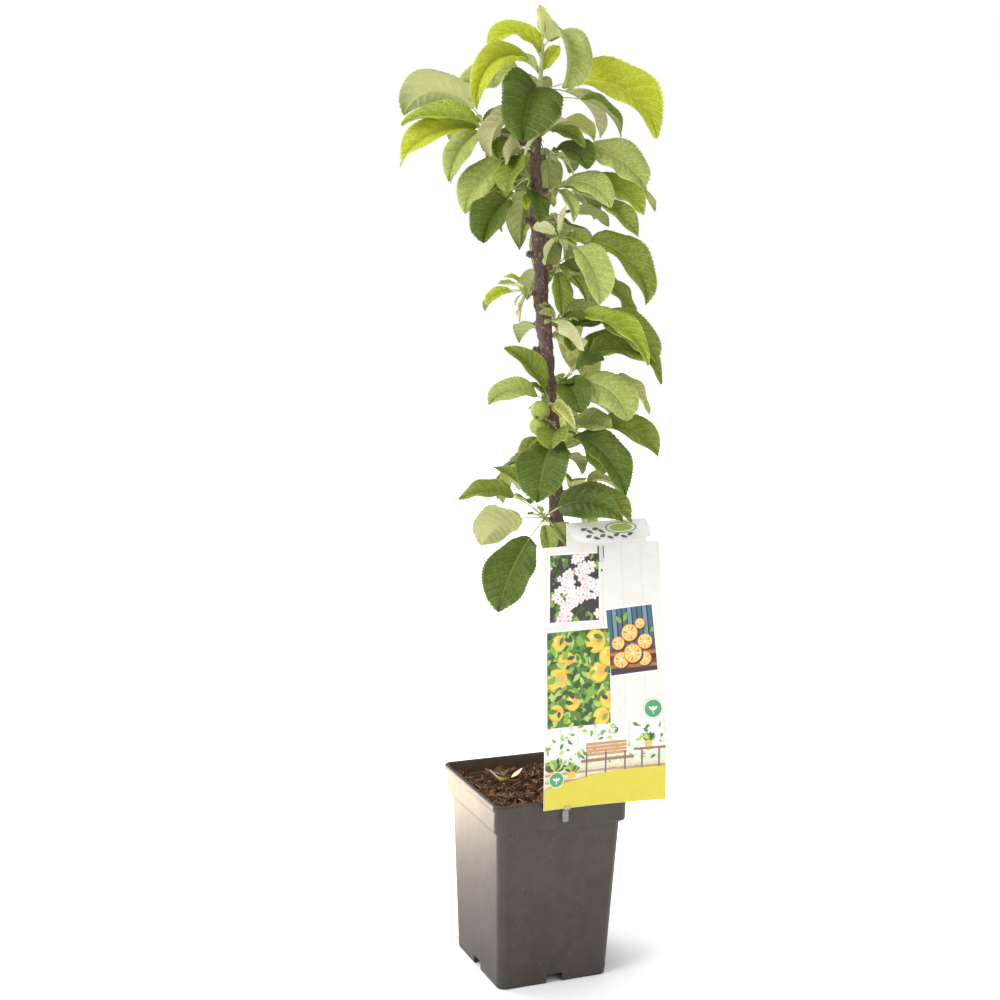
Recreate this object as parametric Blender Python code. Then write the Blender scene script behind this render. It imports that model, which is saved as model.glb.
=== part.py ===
"""Dwarf columnar apple tree in a square nursery pot, with its label card.

Metres, +Z up. The origin is the middle of the pot's foot, on the ground. The pot's sides run along X
and Y, and the label card stands along the pot's front face, at -Y. Sizes in the tables are in
millimetres. The tree has a front of its own, turned from the pot's: in that front frame X runs to
the right, Y away from the viewer, and a turn of 0 degrees points right, 90 away, 270 to the viewer.
"""
import math
import random
from dataclasses import dataclass

import bmesh
import bpy
from mathutils import Matrix, Vector
from mathutils.bvhtree import BVHTree
from mathutils.noise import noise

MM = 0.001
FRONT_TURN = math.radians(-22.7)
GAP = 0.3 * MM

# Square pot of about three litres
POT_HEIGHT = 200 * MM
POT_FOOT = 60.4 * MM
POT_BODY = 67.8 * MM
POT_BAND = 72.6 * MM
POT_LIP = 75.0 * MM
POT_BAND_DROP = 30.6 * MM
POT_LIP_DEEP = 6.4 * MM
POT_WALL = 1.6 * MM
POT_FOOT_TALL = 10.0 * MM
POT_FLOOR = 10.5 * MM
POT_CORNER = 9.0 * MM
CORNER_STEPS = 4
FOOT_INSET = 2.6 * MM
FOOT_LEDGE = 0.9 * MM
BAND_ROUND = 0.8 * MM
LIP_ROUND = 1.0 * MM
INNER_TAPER = 0.4 * MM
INNER_STEP = 0.6 * MM
NOTCH_WIDE = 18 * MM
NOTCH_TALL = 9.5 * MM
DRAIN_RADIUS = 5 * MM
DRAIN_OUT = 33 * MM
DRAIN_SIDES = 12
TOOL_OVERRUN = 5 * MM

# Soil: a low mound, level where the trunk stands
SOIL_EDGE = 184.5 * MM
SOIL_MOUND = 5.5 * MM
SOIL_LUMPS = 2.2 * MM
LUMPS_PER_METRE = 48
SOIL_SIDE_GAP = 0.5 * MM
SOIL_LEVEL = 187 * MM
SOIL_PAD = 21 * MM
SOIL_RINGS = (1.0, 0.9, 0.76, 0.6, 0.42, 0.24)

# Trunk stations, from the flat cut at the soil to the woody tip: height, lean to the right, diameter
TRUNK = (
    (187.3, 20.0, 27.0), (192, 20.2, 21.0), (202, 20.6, 17.6), (225, 21.4, 16.2), (262, 23.0, 17.6),
    (275, 23.2, 16.2), (330, 22.4, 14.8), (400, 19.6, 14.4), (460, 15.8, 14.2), (520, 11.0, 13.8),
    (560, 7.6, 13.4), (600, 3.6, 13.2), (660, -3.0, 12.8), (700, -6.8, 12.6), (740, -10.2, 12.2),
    (790, -14.2, 11.2), (835, -17.0, 9.6), (861, -15.8, 8.4),
)
TRUNK_SIDES = 12
TRUNK_STEP = 13 * MM
# Heights of the close rings at the trunk's foot, above the soil
FLARE_RINGS = (0.0, 4 * MM, 10 * MM, 18 * MM)
FLARE_LOBES = 3
FLARE_PHASE = 0.6
FLARE_DEPTH = 0.12
FLARE_TALL = 16 * MM
KNOB_HIGH = 1.5 * MM
KNOB_SPREAD = 7 * MM
# Dormant knobs between the spurs: height and turn
DORMANT_KNOBS = ((322, 240), (372, 60), (436, 200), (545, 170), (642, 180), (736, 185), (768, 190))

# Spurs and the stems of the leaf masses
SPUR_SIDES = 7
SPUR_THICK = 4.4 * MM
SPUR_TIP = 3.4 * MM
STEM_SIDES = 6
STEM_LONG = 5.5 * MM
STEM_THICK = 3.6 * MM
STEM_TIP = 2.4 * MM
BOUGH_REACH = 40
BOUGH_STEPS = 6
BOUGH_SAG = 3 * MM
SPUR_STEPS = 3
SPUR_SAG = 0.4 * MM
SHOOT_THICK = 6.6 * MM
SHOOT_TIP = 3.0 * MM
SHOOT_STEPS = 4
SHOOT_END = (-12.3, 0.0, 938.0)

# Leaves
STALK_THICK = 1.6 * MM
RIB_THICK = 1.6 * MM
RIB_TAPER = 0.35
BLADE_STOPS = (0.16, 0.40, 0.66, 0.87)
BLADE_SKEW = 0.82
BLADE_FULL = 0.78
BEND_POWER = 1.4
BEND_STEPS = 48
ROOTS_FROM = 0.25
ROOTS_ALONG = 0.6
CLEARANCE = 0.35 * MM
# Turn and rise, in degrees, that a leaf may shift by to keep clear of its neighbours
SHIFTS = (
    (0, 0), (6, 0), (-6, 0), (0, 6), (0, -6), (12, 0), (-12, 0), (8, 8), (-8, 8), (8, -8), (-8, -8),
    (18, 0), (-18, 0), (0, 14), (0, -14), (16, 12), (-16, 12), (16, -12), (-16, -12), (26, 0), (-26, 0),
    (0, 24), (0, -24), (26, 16), (-26, 16), (26, -16), (-26, -16), (36, 8), (-36, 8),
)

# Label card and the clear strip that hangs it on the pot's lip
CARD_BACK = 78.0 * MM
CARD_THICK = 0.8 * MM
CARD_FOOT = 192.8 * MM
CARD_SHOULDER = 457 * MM
CARD_TOP = 479 * MM
CARD_LEFT = (-25.5, -29.0)
CARD_RIGHT = (107.0, 100.0)
CARD_NECK = (-3.0, 86.0)
CARD_BEND_FROM = 242 * MM
CARD_LEAN = 14 * MM
CARD_TWIST = 12 * MM
CARD_CURL = 3 * MM
FLAP_LONG = 24 * MM
FLAP_DROP = math.radians(24)
FLAP_SLANT = 10 * MM
CARD_COLUMNS = (0.42, 0.64)
CARD_ROWS = (0, 0.14, 0.28, 0.42, 0.56, 0.7, 0.85, 1, 2, 2.35, 2.75, 3)
STRIP_WIDE = 6 * MM
STRIP_THICK = 1.2
STRIP_CLEAR = 0.4
STRIP_ABOVE = 38
STRIP_BELOW = 15
HOOK_DEEP = 10.5
CROOK_THICK = 0.9
CROOK_TALL = 2.6
CROOK_FLOOR = 1.4

# Leaves at the back: ranges that the seeded rule draws from
WILD_SHORTEST = 0.7
WILD_JITTER = 7
WILD_RISE = (-6, 34)
WILD_STAGGER = 18
WILD_STALK = (18, 30)
WILD_WIDTH = (0.44, 0.52)
WILD_DROP = (50, 95)
WILD_ROLL = 22
WILD_FOLD = (16, 34)


@dataclass(frozen=True)
class Leaf:
    """One leaf: where it points in the front frame, and its sizes in millimetres and degrees."""

    turn: float
    rise: float
    stalk: float
    blade: float
    wide: float
    drop: float
    roll: float = 0.0
    fold: float = 25.0
    at: float = -1.0


@dataclass(frozen=True)
class Cluster:
    """A spur or bough on the trunk, with the leaves that spring from the stem at its end."""

    name: str
    height: float
    turn: float
    reach: float
    climb: float
    leaves: tuple


def wild_leaves(seed, turn, count, spread=62.0, longest=78.0):
    """Leaves that fan out round a turn by a seeded rule."""
    draw = random.Random(seed)
    leaves = []
    for k in range(count):
        share = (k + 0.5) / count - 0.5
        blade = draw.uniform(WILD_SHORTEST, 1.0) * longest
        leaves.append(Leaf(
            turn=turn + 2 * spread * share + draw.uniform(-WILD_JITTER, WILD_JITTER),
            rise=draw.uniform(*WILD_RISE) - WILD_STAGGER * (k % 2),
            stalk=draw.uniform(*WILD_STALK),
            blade=blade,
            wide=blade * draw.uniform(*WILD_WIDTH),
            drop=draw.uniform(*WILD_DROP),
            roll=draw.uniform(-WILD_ROLL, WILD_ROLL),
            fold=draw.uniform(*WILD_FOLD),
        ))
    return tuple(leaves)


# The young shoot that ends the trunk carries its leaves one above another
LEADER_LEAVES = (
    Leaf(230, 86, 4, 33, 18, 18, 0, 20, at=1.0),
    Leaf(296, 32, 12, 92, 50, 192, -12, 34, at=0.95),
    Leaf(185, 78, 8, 68, 30, 170, -38, 28, at=0.78),
    Leaf(30, 63, 6, 30, 17, 20, 50, 25, at=0.62),
    Leaf(140, 50, 4, 30, 22, 50, 30, 30, at=0.6),
    Leaf(225, 28, 20, 102, 34, 135, -45, 38, at=0.66),
    Leaf(176, 32, 22, 66, 42, 118, -55, 20, at=0.52),
    Leaf(254, -12, 10, 80, 72, 78, -32, 30, at=0.5),
    Leaf(346, 21, 28, 116, 54, 104, 46, 24, at=0.42),
    Leaf(34, 8, 30, 68, 32, 95, 0, 32, at=0.44),
    Leaf(25, 18, 42, 60, 28, 95, 30, 28, at=0.28),
    Leaf(215, 2, 26, 58, 36, 108, 68, 28, at=0.2),
    Leaf(95, 24, 24, 82, 40, 95, 10, 24, at=0.46),
    Leaf(128, 4, 26, 76, 38, 80, -12, 26, at=0.24),
)

CLUSTERS = (
    Cluster("left_bough", 842, 180, 55, 17, (
        Leaf(152, 74, 22, 86, 50, 136, 40, 20),
        Leaf(176, 28, 6, 80, 34, 52, -42, 35),
        Leaf(170, 6, 8, 94, 38, 78, -52, 30),
        Leaf(226, -24, 10, 64, 32, 60, -38, 34),
        Leaf(204, -38, 8, 58, 28, 50, -32, 34),
        Leaf(305, -25, 8, 33, 20, 60, 20, 20),
        Leaf(102, 14, 18, 64, 34, 62, 0, 25),
        Leaf(62, -8, 14, 52, 28, 60, 10, 25),
    )),
    Cluster("top_front", 853, 314, 16, 12, (
        Leaf(240, -16, 8, 39, 17, 40, 58, 42),
        Leaf(332, 37, 5, 22, 10, 40, -40, 38),
        Leaf(325, 0, 5, 44, 21, 50, 45, 34),
    )),
    Cluster("top_left", 834, 209, 17, 12, (
        Leaf(200, -22, 24, 66, 36, 60, -48, 24),
        Leaf(250, -34, 8, 52, 38, 40, 20, 20),
        Leaf(222, -5, 8, 37, 30, 78, 72, 20),
        Leaf(220, -32, 10, 45, 34, 58, -22, 15),
        Leaf(158, -14, 20, 60, 32, 62, 0, 25),
    )),
    Cluster("right_1", 829, 345, 17, 14, (
        Leaf(320, 30, 11, 48, 33, 112, 35, 20),
        Leaf(350, 18, 36, 72, 44, 88, 50, 24),
        Leaf(18, 8, 42, 76, 38, 68, 38, 28),
        Leaf(38, 4, 54, 104, 46, 60, 34, 24),
        Leaf(62, 8, 14, 46, 30, 60, 20, 25),
    )),
    Cluster("right_2", 797, 353, 18, 12, (
        Leaf(330, 26, 18, 60, 31, 100, 46, 24),
        Leaf(355, 20, 40, 64, 33, 85, 46, 28),
        Leaf(340, 3, 50, 54, 26, 58, 40, 28),
        Leaf(308, -12, 8, 42, 19, 78, 10, 38),
        Leaf(58, 10, 26, 70, 36, 72, 0, 25),
    )),
    Cluster("left_2", 798, 228, 17, 12, (
        Leaf(182, -2, 14, 42, 28, 70, -40, 24),
        Leaf(226, -18, 28, 55, 46, 60, -24, 36),
        Leaf(290, -17, 6, 46, 28, 60, -18, 20),
        Leaf(142, -4, 20, 56, 30, 62, 0, 25),
    )),
    Cluster("right_3", 749, 339, 22, 14, (
        Leaf(345, 5, 34, 92, 44, 98, 42, 30),
        Leaf(315, -8, 30, 70, 36, 88, 20, 24),
        Leaf(322, 12, 10, 30, 17, 58, 30, 30),
        Leaf(240, -24, 6, 31, 20, 60, 58, 20),
        Leaf(200, 42, 5, 25, 14, 60, 58, 20),
        Leaf(300, 74, 4, 32, 9, 16, 0, 38),
    )),
    Cluster("right_4", 723, 342, 19, 14, (
        Leaf(10, -3, 48, 56, 34, 80, 40, 24),
        Leaf(330, -22, 20, 34, 13, 60, 30, 38),
        Leaf(290, -48, 8, 45, 23, 58, 0, 24),
        Leaf(312, 10, 6, 28, 19, 50, 30, 20),
        Leaf(32, -6, 34, 32, 19, 60, 38, 24),
    )),
    Cluster("left_3", 697, 201, 18, 14, (
        Leaf(200, 12, 20, 31, 16, 70, -40, 30),
        Leaf(188, 32, 14, 19, 10, 50, -30, 30),
        Leaf(240, -42, 5, 29, 19, 60, 60, 20),
        Leaf(150, 0, 16, 40, 22, 60, 0, 25),
    )),
    Cluster("front_5", 670, 313, 19, 14, (
        Leaf(335, 14, 27, 92, 34, 88, 38, 38),
        Leaf(0, 11, 42, 76, 42, 80, 48, 24),
        Leaf(300, 8, 14, 52, 40, 84, 150, 20),
        Leaf(350, 32, 10, 31, 25, 88, 40, 16),
        Leaf(302, 5, 6, 31, 19, 30, 20, 20),
        Leaf(232, 34, 5, 25, 15, 42, 30, 20),
        Leaf(312, -24, 20, 21, 15, 60, 20, 20),
    )),
    Cluster("right_6", 606, 318, 19, 14, (
        Leaf(350, 58, 40, 94, 40, 144, 44, 24),
        Leaf(20, 58, 30, 58, 36, 72, 46, 24),
        Leaf(328, 18, 26, 67, 42, 98, 38, 20),
        Leaf(22, 17, 56, 58, 32, 88, 38, 20),
        Leaf(308, 10, 8, 51, 36, 88, 20, 20),
        Leaf(344, 56, 20, 33, 23, 60, 40, 20),
        Leaf(280, 30, 5, 23, 17, 60, 0, 20),
    )),
    Cluster("front_6", 588, 266, 18, 12, (
        Leaf(185, 70, 15, 60, 28, 52, -55, 34),
        Leaf(195, 35, 15, 55, 30, 90, -42, 28),
        Leaf(300, 10, 12, 54, 17, 70, 58, 42),
    )),
    Cluster("front_7", 560, 292, 19, 14, (
        Leaf(255, -13, 25, 78, 54, 60, 0, 14),
        Leaf(313, 0, 22, 94, 44, 74, 18, 28),
        Leaf(350, 24, 44, 70, 34, 90, 48, 24),
        Leaf(340, 23, 14, 46, 28, 60, 40, 20),
        Leaf(260, 12, 12, 46, 34, 62, 10, 20),
        Leaf(210, 14, 26, 26, 19, 80, -38, 20),
        Leaf(342, -16, 28, 37, 28, 60, 40, 20),
    )),
    Cluster("left_8", 471, 229, 25, 14, (
        Leaf(234, -32, 29, 86, 52, 40, -12, 14),
        Leaf(180, 42, 37, 58, 26, 78, -38, 30),
        Leaf(152, -2, 26, 58, 46, 62, 50, 20),
        Leaf(345, 42, 20, 84, 40, 102, 28, 20),
        Leaf(316, 36, 22, 90, 38, 74, 66, 20),
        Leaf(166, 66, 38, 37, 15, 60, -38, 30),
        Leaf(310, -12, 14, 38, 30, 60, 0, 30),
        Leaf(285, -30, 10, 30, 21, 66, 0, 28),
        Leaf(120, 28, 28, 27, 21, 42, 28, 20),
    )),
    Cluster("rear_1", 846, 78, 17, 16, wild_leaves(11, 96, 6)),
    Cluster("rear_2", 808, 112, 18, 14, wild_leaves(12, 112, 5, spread=36)),
    Cluster("rear_3", 766, 70, 19, 14, wild_leaves(13, 62, 5, spread=36)),
    Cluster("rear_4", 714, 58, 18, 14, wild_leaves(14, 56, 5, spread=36)),
    Cluster("rear_5", 652, 64, 19, 14, wild_leaves(15, 60, 5, spread=38)),
    Cluster("rear_6", 586, 64, 18, 14, wild_leaves(16, 62, 5, spread=42)),
    Cluster("rear_7", 528, 102, 18, 14, wild_leaves(17, 92, 6)),
    Cluster("rear_8", 497, 34, 19, 12, wild_leaves(18, 42, 5, spread=48, longest=70)),
)

# Two young apples hang at the front: the cluster, the turn, rise and stalk, and their radius
APPLES = (
    ("front_6", 236, 5, 12, 9.6),
    ("front_6", 220, -50, 17, 9.8),
)
APPLE_SIDES = 10
APPLE_RINGS = 6
APPLE_HANG = 1.2
APPLE_NECK = 0.86
APPLE_EYE = 0.94
APPLE_FULL = 0.8

COLOURS = {
    "pot": ((0.100, 0.083, 0.069), 0.45),
    "soil": ((0.075, 0.040, 0.022), 0.95),
    "bark": ((0.090, 0.052, 0.044), 0.80),
    "leaf": ((0.150, 0.260, 0.060), 0.55),
    "card": ((0.780, 0.770, 0.740), 0.50),
    "strip": ((0.800, 0.820, 0.800), 0.15),
}


def material(name):
    """A plain Principled material in one of the object's colours."""
    made = bpy.data.materials.get(name)
    if made is None:
        colour, rough = COLOURS[name]
        made = bpy.data.materials.new(name)
        made.use_nodes = True
        shader = made.node_tree.nodes["Principled BSDF"]
        shader.inputs["Base Color"].default_value = (*colour, 1.0)
        shader.inputs["Roughness"].default_value = rough
        made.diffuse_color = (*colour, 1.0)
    return made


def add_object(name, points, faces, finish):
    """An object from points and faces, its faces turned outwards."""
    mesh = bpy.data.meshes.new(name)
    mesh.from_pydata([tuple(p) for p in points], [], faces)
    work = bmesh.new()
    work.from_mesh(mesh)
    bmesh.ops.recalc_face_normals(work, faces=work.faces)
    work.to_mesh(mesh)
    work.free()
    mesh.materials.append(material(finish))
    item = bpy.data.objects.new(name, mesh)
    bpy.context.scene.collection.objects.link(item)
    return item


def loft(rings):
    """Points and faces through rings of equal count; a ring of one point closes to a tip."""
    points = []
    starts = []
    for ring in rings:
        starts.append(len(points))
        points.extend(ring)
    faces = []
    for low, high, a, b in zip(rings, rings[1:], starts, starts[1:]):
        count = max(len(low), len(high))
        for k in range(count):
            j = (k + 1) % count
            if len(high) == 1:
                faces.append((a + k, a + j, b))
            elif len(low) == 1:
                faces.append((a, b + j, b + k))
            else:
                faces.append((a + k, a + j, b + j, b + k))
    if len(rings[0]) > 1:
        faces.append(tuple(reversed(range(len(rings[0])))))
    if len(rings[-1]) > 1:
        faces.append(tuple(starts[-1] + k for k in range(len(rings[-1]))))
    return points, faces


def from_front(point):
    """A point or direction of the front frame, in the pot's frame."""
    return Matrix.Rotation(FRONT_TURN, 3, "Z") @ Vector(point)


def heading(turn, rise):
    """Unit direction in the front frame for a turn and a rise in degrees."""
    a = math.radians(turn)
    e = math.radians(rise)
    return Vector((math.cos(a) * math.cos(e), math.sin(a) * math.cos(e), math.sin(e)))


def along(table, z):
    """Smooth values of a table of (height, value, ...) rows at height z, all in millimetres."""
    rows = len(table)
    k = 0
    while k < rows - 2 and table[k + 1][0] <= z:
        k += 1
    z0, z1 = table[k][0], table[k + 1][0]
    t = min(max((z - z0) / (z1 - z0), 0.0), 1.0)
    values = []
    for column in range(1, len(table[0])):
        v0, v1 = table[k][column], table[k + 1][column]
        before = table[max(k - 1, 0)]
        after = table[min(k + 2, rows - 1)]
        slope0 = (v1 - before[column]) / (z1 - before[0])
        slope1 = (after[column] - v0) / (after[0] - z0)
        span = z1 - z0
        h = t * t * (3 - 2 * t)
        value = v0 * (1 - h) + v1 * h
        value += span * (slope0 * t * (1 - t) ** 2 - slope1 * t * t * (1 - t))
        values.append(value)
    return values


def trunk_centre(z):
    """Centre of the trunk at height z in metres, in the front frame."""
    lean, _ = along(TRUNK, z / MM)
    return Vector((lean * MM, 0.0, z))


def trunk_radius(z, angle):
    """Trunk radius at a height and an angle, with its root flare and its knobs."""
    _, wide = along(TRUNK, z / MM)
    radius = 0.5 * wide * MM
    foot = max(0.0, 1 - (z / MM - TRUNK[0][0]) / (FLARE_TALL / MM))
    radius *= 1 + FLARE_DEPTH * foot * math.cos(FLARE_LOBES * angle + FLARE_PHASE)
    knobs = [(c.height, c.turn) for c in CLUSTERS] + list(DORMANT_KNOBS)
    for high, turn in knobs:
        off = (z / MM - high) * MM / KNOB_SPREAD
        if abs(off) > 3:
            continue
        round_off = math.cos(angle - math.radians(turn))
        radius += KNOB_HIGH * math.exp(-off * off) * max(0.0, round_off) ** 2
    return radius


def trunk_rings(inflate=0.0, overrun=0.0):
    """Rings of the trunk from the soil to the woody tip, made fatter and longer on request."""
    low = TRUNK[0][0] * MM
    high = TRUNK[-1][0] * MM
    levels = [low + above for above in FLARE_RINGS]
    while levels[-1] + TRUNK_STEP < high - 0.5 * TRUNK_STEP:
        levels.append(levels[-1] + TRUNK_STEP)
    levels.append(high)
    rings = []
    for z in levels:
        centre = trunk_centre(z)
        if z == low:
            centre.z -= overrun
        if z == high:
            centre.z += overrun
        ring = []
        for k in range(TRUNK_SIDES):
            a = math.tau * k / TRUNK_SIDES
            r = trunk_radius(z, a) + inflate
            ring.append(from_front(centre + Vector((r * math.cos(a), r * math.sin(a), 0))))
        rings.append(ring)
    return rings


def tube(start, end, thick, thin, sides, steps, sag=0.0):
    """Rings of a tapering limb between two points of the front frame."""
    axis = (end - start).normalized()
    across = axis.cross(Vector((0, 0, 1)))
    if across.length < 0.1:
        across = Vector((1, 0, 0))
    across.normalize()
    up = across.cross(axis)
    rings = []
    for s in range(steps + 1):
        t = s / steps
        centre = start.lerp(end, t) - Vector((0, 0, sag * math.sin(math.pi * t)))
        radius = 0.5 * (thick + (thin - thick) * t)
        ring = []
        for k in range(sides):
            a = math.tau * k / sides
            ring.append(from_front(centre + radius * (math.cos(a) * across + math.sin(a) * up)))
        rings.append(ring)
    return rings


def cluster_axis(cluster):
    """Start on the trunk's axis, the spur's tip, and the leaf stem's two ends, in the front frame."""
    root = trunk_centre(cluster.height * MM)
    way = heading(cluster.turn, cluster.climb)
    end = root + way * cluster.reach * MM
    stem = end - way * STEM_LONG
    tip = stem - way * GAP
    return root, tip, stem, end


def breadth(t):
    """Half-width of a blade at the share t of its length, where 1 is its widest."""
    return math.sin(math.pi * t ** BLADE_SKEW) ** BLADE_FULL


def leaf_sections(leaf, root, spare=0.0, blade_only=False):
    """Chevron sections of one leaf in the front frame, from the stalk's root to the blade's tip."""
    total = (leaf.stalk + leaf.blade) * MM
    a = math.radians(leaf.turn)
    out = Vector((math.cos(a), math.sin(a), 0))
    side = Vector((-math.sin(a), math.cos(a), 0))
    blade_start = leaf.stalk / (leaf.stalk + leaf.blade)
    stops = [0.0, blade_start]
    stops += [blade_start + (1 - blade_start) * t for t in BLADE_STOPS]
    stops.append(1.0)
    point = Vector(root)
    middles = []
    for k in range(BEND_STEPS + 1):
        q = k / BEND_STEPS
        rise = math.radians(leaf.rise - leaf.drop * q ** BEND_POWER)
        tangent = out * math.cos(rise) + Vector((0, 0, math.sin(rise)))
        middles.append((point.copy(), tangent))
        point = point + tangent * total / BEND_STEPS
    sections = []
    for n, q in enumerate(stops):
        k = min(int(q * BEND_STEPS), BEND_STEPS - 1)
        share = q * BEND_STEPS - k
        centre = middles[k][0].lerp(middles[k + 1][0], share)
        tangent = middles[k][1].lerp(middles[k + 1][1], share).normalized()
        up = tangent.cross(side)
        t = max(0.0, (q - blade_start) / (1 - blade_start))
        roll = math.radians(leaf.roll)
        left = side * math.cos(roll) + up * math.sin(roll)
        top = up * math.cos(roll) - side * math.sin(roll)
        if blade_only and n == 0:
            continue
        if n == len(stops) - 1:
            sections.append([centre + tangent * spare])
            continue
        if n < 2:
            half = 0.5 * STALK_THICK + spare
            thick = 0.5 * STALK_THICK + spare
            lift = 0.0
        else:
            half = 0.5 * leaf.wide * MM * breadth(t) + spare
            thick = 0.5 * RIB_THICK * (1 - RIB_TAPER * t) + spare
            lift = math.radians(leaf.fold)
        arm = left * half * math.cos(lift)
        raised = top * half * math.sin(lift)
        sections.append([centre + arm + raised, centre + top * thick, centre - arm + raised,
                         centre - top * thick])
    return sections


def leaf_mesh(leaf, root, spare=0.0, blade_only=False):
    """Points in the pot's frame, and faces, of one leaf."""
    sections = leaf_sections(leaf, root, spare, blade_only)
    return loft([[from_front(p) for p in section] for section in sections])


def search_tree(points, faces):
    """A search tree over a mesh."""
    return BVHTree.FromPolygons([tuple(p) for p in points], faces)


class Thicket:
    """Keeps what is already placed, and shifts each new leaf until it touches nothing."""

    def __init__(self):
        self.solid = []
        self.leaves = []

    def add_solid(self, points, faces, owner=None):
        """A limb, stem, pot or card that every leaf of another owner keeps clear of."""
        self.solid.append((owner, search_tree(points, faces)))

    def clear(self, owner, whole, blade):
        """True when a leaf of this owner touches nothing."""
        for other, tree in self.solid:
            if other != owner and whole.overlap(tree):
                return False
        for other, full, flat in self.leaves:
            if other != owner:
                if whole.overlap(full):
                    return False
            elif blade.overlap(full) or whole.overlap(flat):
                return False
        return True

    def place(self, owner, leaf, root):
        """The leaf itself, or a shifted one that is clear, or None."""
        for turn, rise in SHIFTS:
            moved = Leaf(leaf.turn + turn, leaf.rise + rise, leaf.stalk, leaf.blade, leaf.wide,
                         leaf.drop, leaf.roll, leaf.fold, leaf.at)
            whole = search_tree(*leaf_mesh(moved, root, CLEARANCE))
            blade = search_tree(*leaf_mesh(moved, root, CLEARANCE, blade_only=True))
            if self.clear(owner, whole, blade):
                full = search_tree(*leaf_mesh(moved, root))
                flat = search_tree(*leaf_mesh(moved, root, blade_only=True))
                self.leaves.append((owner, full, flat))
                return moved
        return None


def leaf_root(leaf, rank, count, start, end):
    """Where a leaf's stalk is sunk into its stem."""
    share = leaf.at if leaf.at >= 0 else ROOTS_FROM + ROOTS_ALONG * (rank + 0.5) / count
    return start.lerp(end, share)


def apple_parts(spec, root):
    """A stalk and a young fruit, with the dimple at its stalk and the calyx at its eye."""
    _, turn, rise, stalk, radius = spec
    way = heading(turn, rise)
    neck = root + way * stalk * MM
    down = (way - Vector((0, 0, APPLE_HANG))).normalized()
    size = radius * MM
    middle = neck + down * size * APPLE_NECK
    stalk_rings = tube(root, middle, STALK_THICK, STALK_THICK, 4, 2)
    across = down.orthogonal().normalized()
    other = down.cross(across)
    rings = [[from_front(neck)]]
    for r in range(1, APPLE_RINGS):
        a = math.pi * r / APPLE_RINGS
        wide = size * math.sin(a) ** APPLE_FULL
        level = middle - down * size * math.cos(a)
        ring = []
        for k in range(APPLE_SIDES):
            b = math.tau * k / APPLE_SIDES
            ring.append(from_front(level + wide * (math.cos(b) * across + math.sin(b) * other)))
        rings.append(ring)
    rings.append([from_front(middle + down * size * APPLE_EYE)])
    return loft(stalk_rings), loft(rings)


def keep_largest(mesh):
    """Leaves one closed body in a mesh: drops loose scraps, and fills hollows sealed by a union."""
    work = bmesh.new()
    work.from_mesh(mesh)
    left = set(work.faces)
    islands = []
    while left:
        seed = left.pop()
        island = [seed]
        for face in island:
            for edge in face.edges:
                for other in edge.link_faces:
                    if other in left:
                        left.discard(other)
                        island.append(other)
        islands.append(island)
    islands.sort(key=len)
    for island in islands[:-1]:
        bmesh.ops.delete(work, geom=island, context="FACES")
    work.to_mesh(mesh)
    work.free()


def join(name, parts, finish):
    """One solid from overlapping parts, by a union on a collection of all but the first."""
    items = [add_object(f"{name}.{k}", *part, finish) for k, part in enumerate(parts)]
    whole = items[0]
    others = bpy.data.collections.new(f"{name}_others")
    for item in items[1:]:
        others.objects.link(item)
    union = whole.modifiers.new("union", "BOOLEAN")
    union.operation = "UNION"
    union.operand_type = "COLLECTION"
    union.collection = others
    union.solver = "EXACT"
    union.use_self = True
    sight = bpy.context.evaluated_depsgraph_get()
    mesh = bpy.data.meshes.new_from_object(whole.evaluated_get(sight))
    mesh.name = name
    keep_largest(mesh)
    for item in items[1:]:
        bpy.data.objects.remove(item)
    bpy.data.collections.remove(others)
    whole.modifiers.clear()
    whole.data = mesh
    whole.name = name
    return whole


def square_ring(half, z, corner=POT_CORNER):
    """Ring of a square with round corners, at height z."""
    ring = []
    inset = half - corner
    for quarter, (sx, sy) in enumerate(((1, 1), (-1, 1), (-1, -1), (1, -1))):
        for k in range(CORNER_STEPS + 1):
            a = math.radians(90 * quarter + 90 * k / CORNER_STEPS)
            ring.append(Vector((sx * inset + corner * math.cos(a), sy * inset + corner * math.sin(a), z)))
    return ring


def body_half(z):
    """Half-width of the pot's tapering body at height z."""
    low, high = POT_FOOT_TALL, POT_HEIGHT - POT_BAND_DROP
    share = (z - low) / (high - low)
    foot = POT_FOOT + 0.5 * MM
    return foot + (POT_BODY - foot) * share


def make_tool(name, points, faces):
    """A hidden shape that other objects are cut by."""
    tool = add_object(name, points, faces, "pot")
    tool.hide_render = True
    tool.display_type = "WIRE"
    return tool


def cut(item, tool):
    """Cuts a hidden tool out of an object."""
    trim = item.modifiers.new(tool.name, "BOOLEAN")
    trim.operation = "DIFFERENCE"
    trim.solver = "EXACT"
    trim.object = tool


def box_mesh(x0, x1, y0, y1, z0, z1):
    """Points and faces of a box."""
    low = [Vector((x0, y0, z0)), Vector((x1, y0, z0)), Vector((x1, y1, z0)), Vector((x0, y1, z0))]
    high = [p + Vector((0, 0, z1 - z0)) for p in low]
    return loft([low, high])


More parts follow.
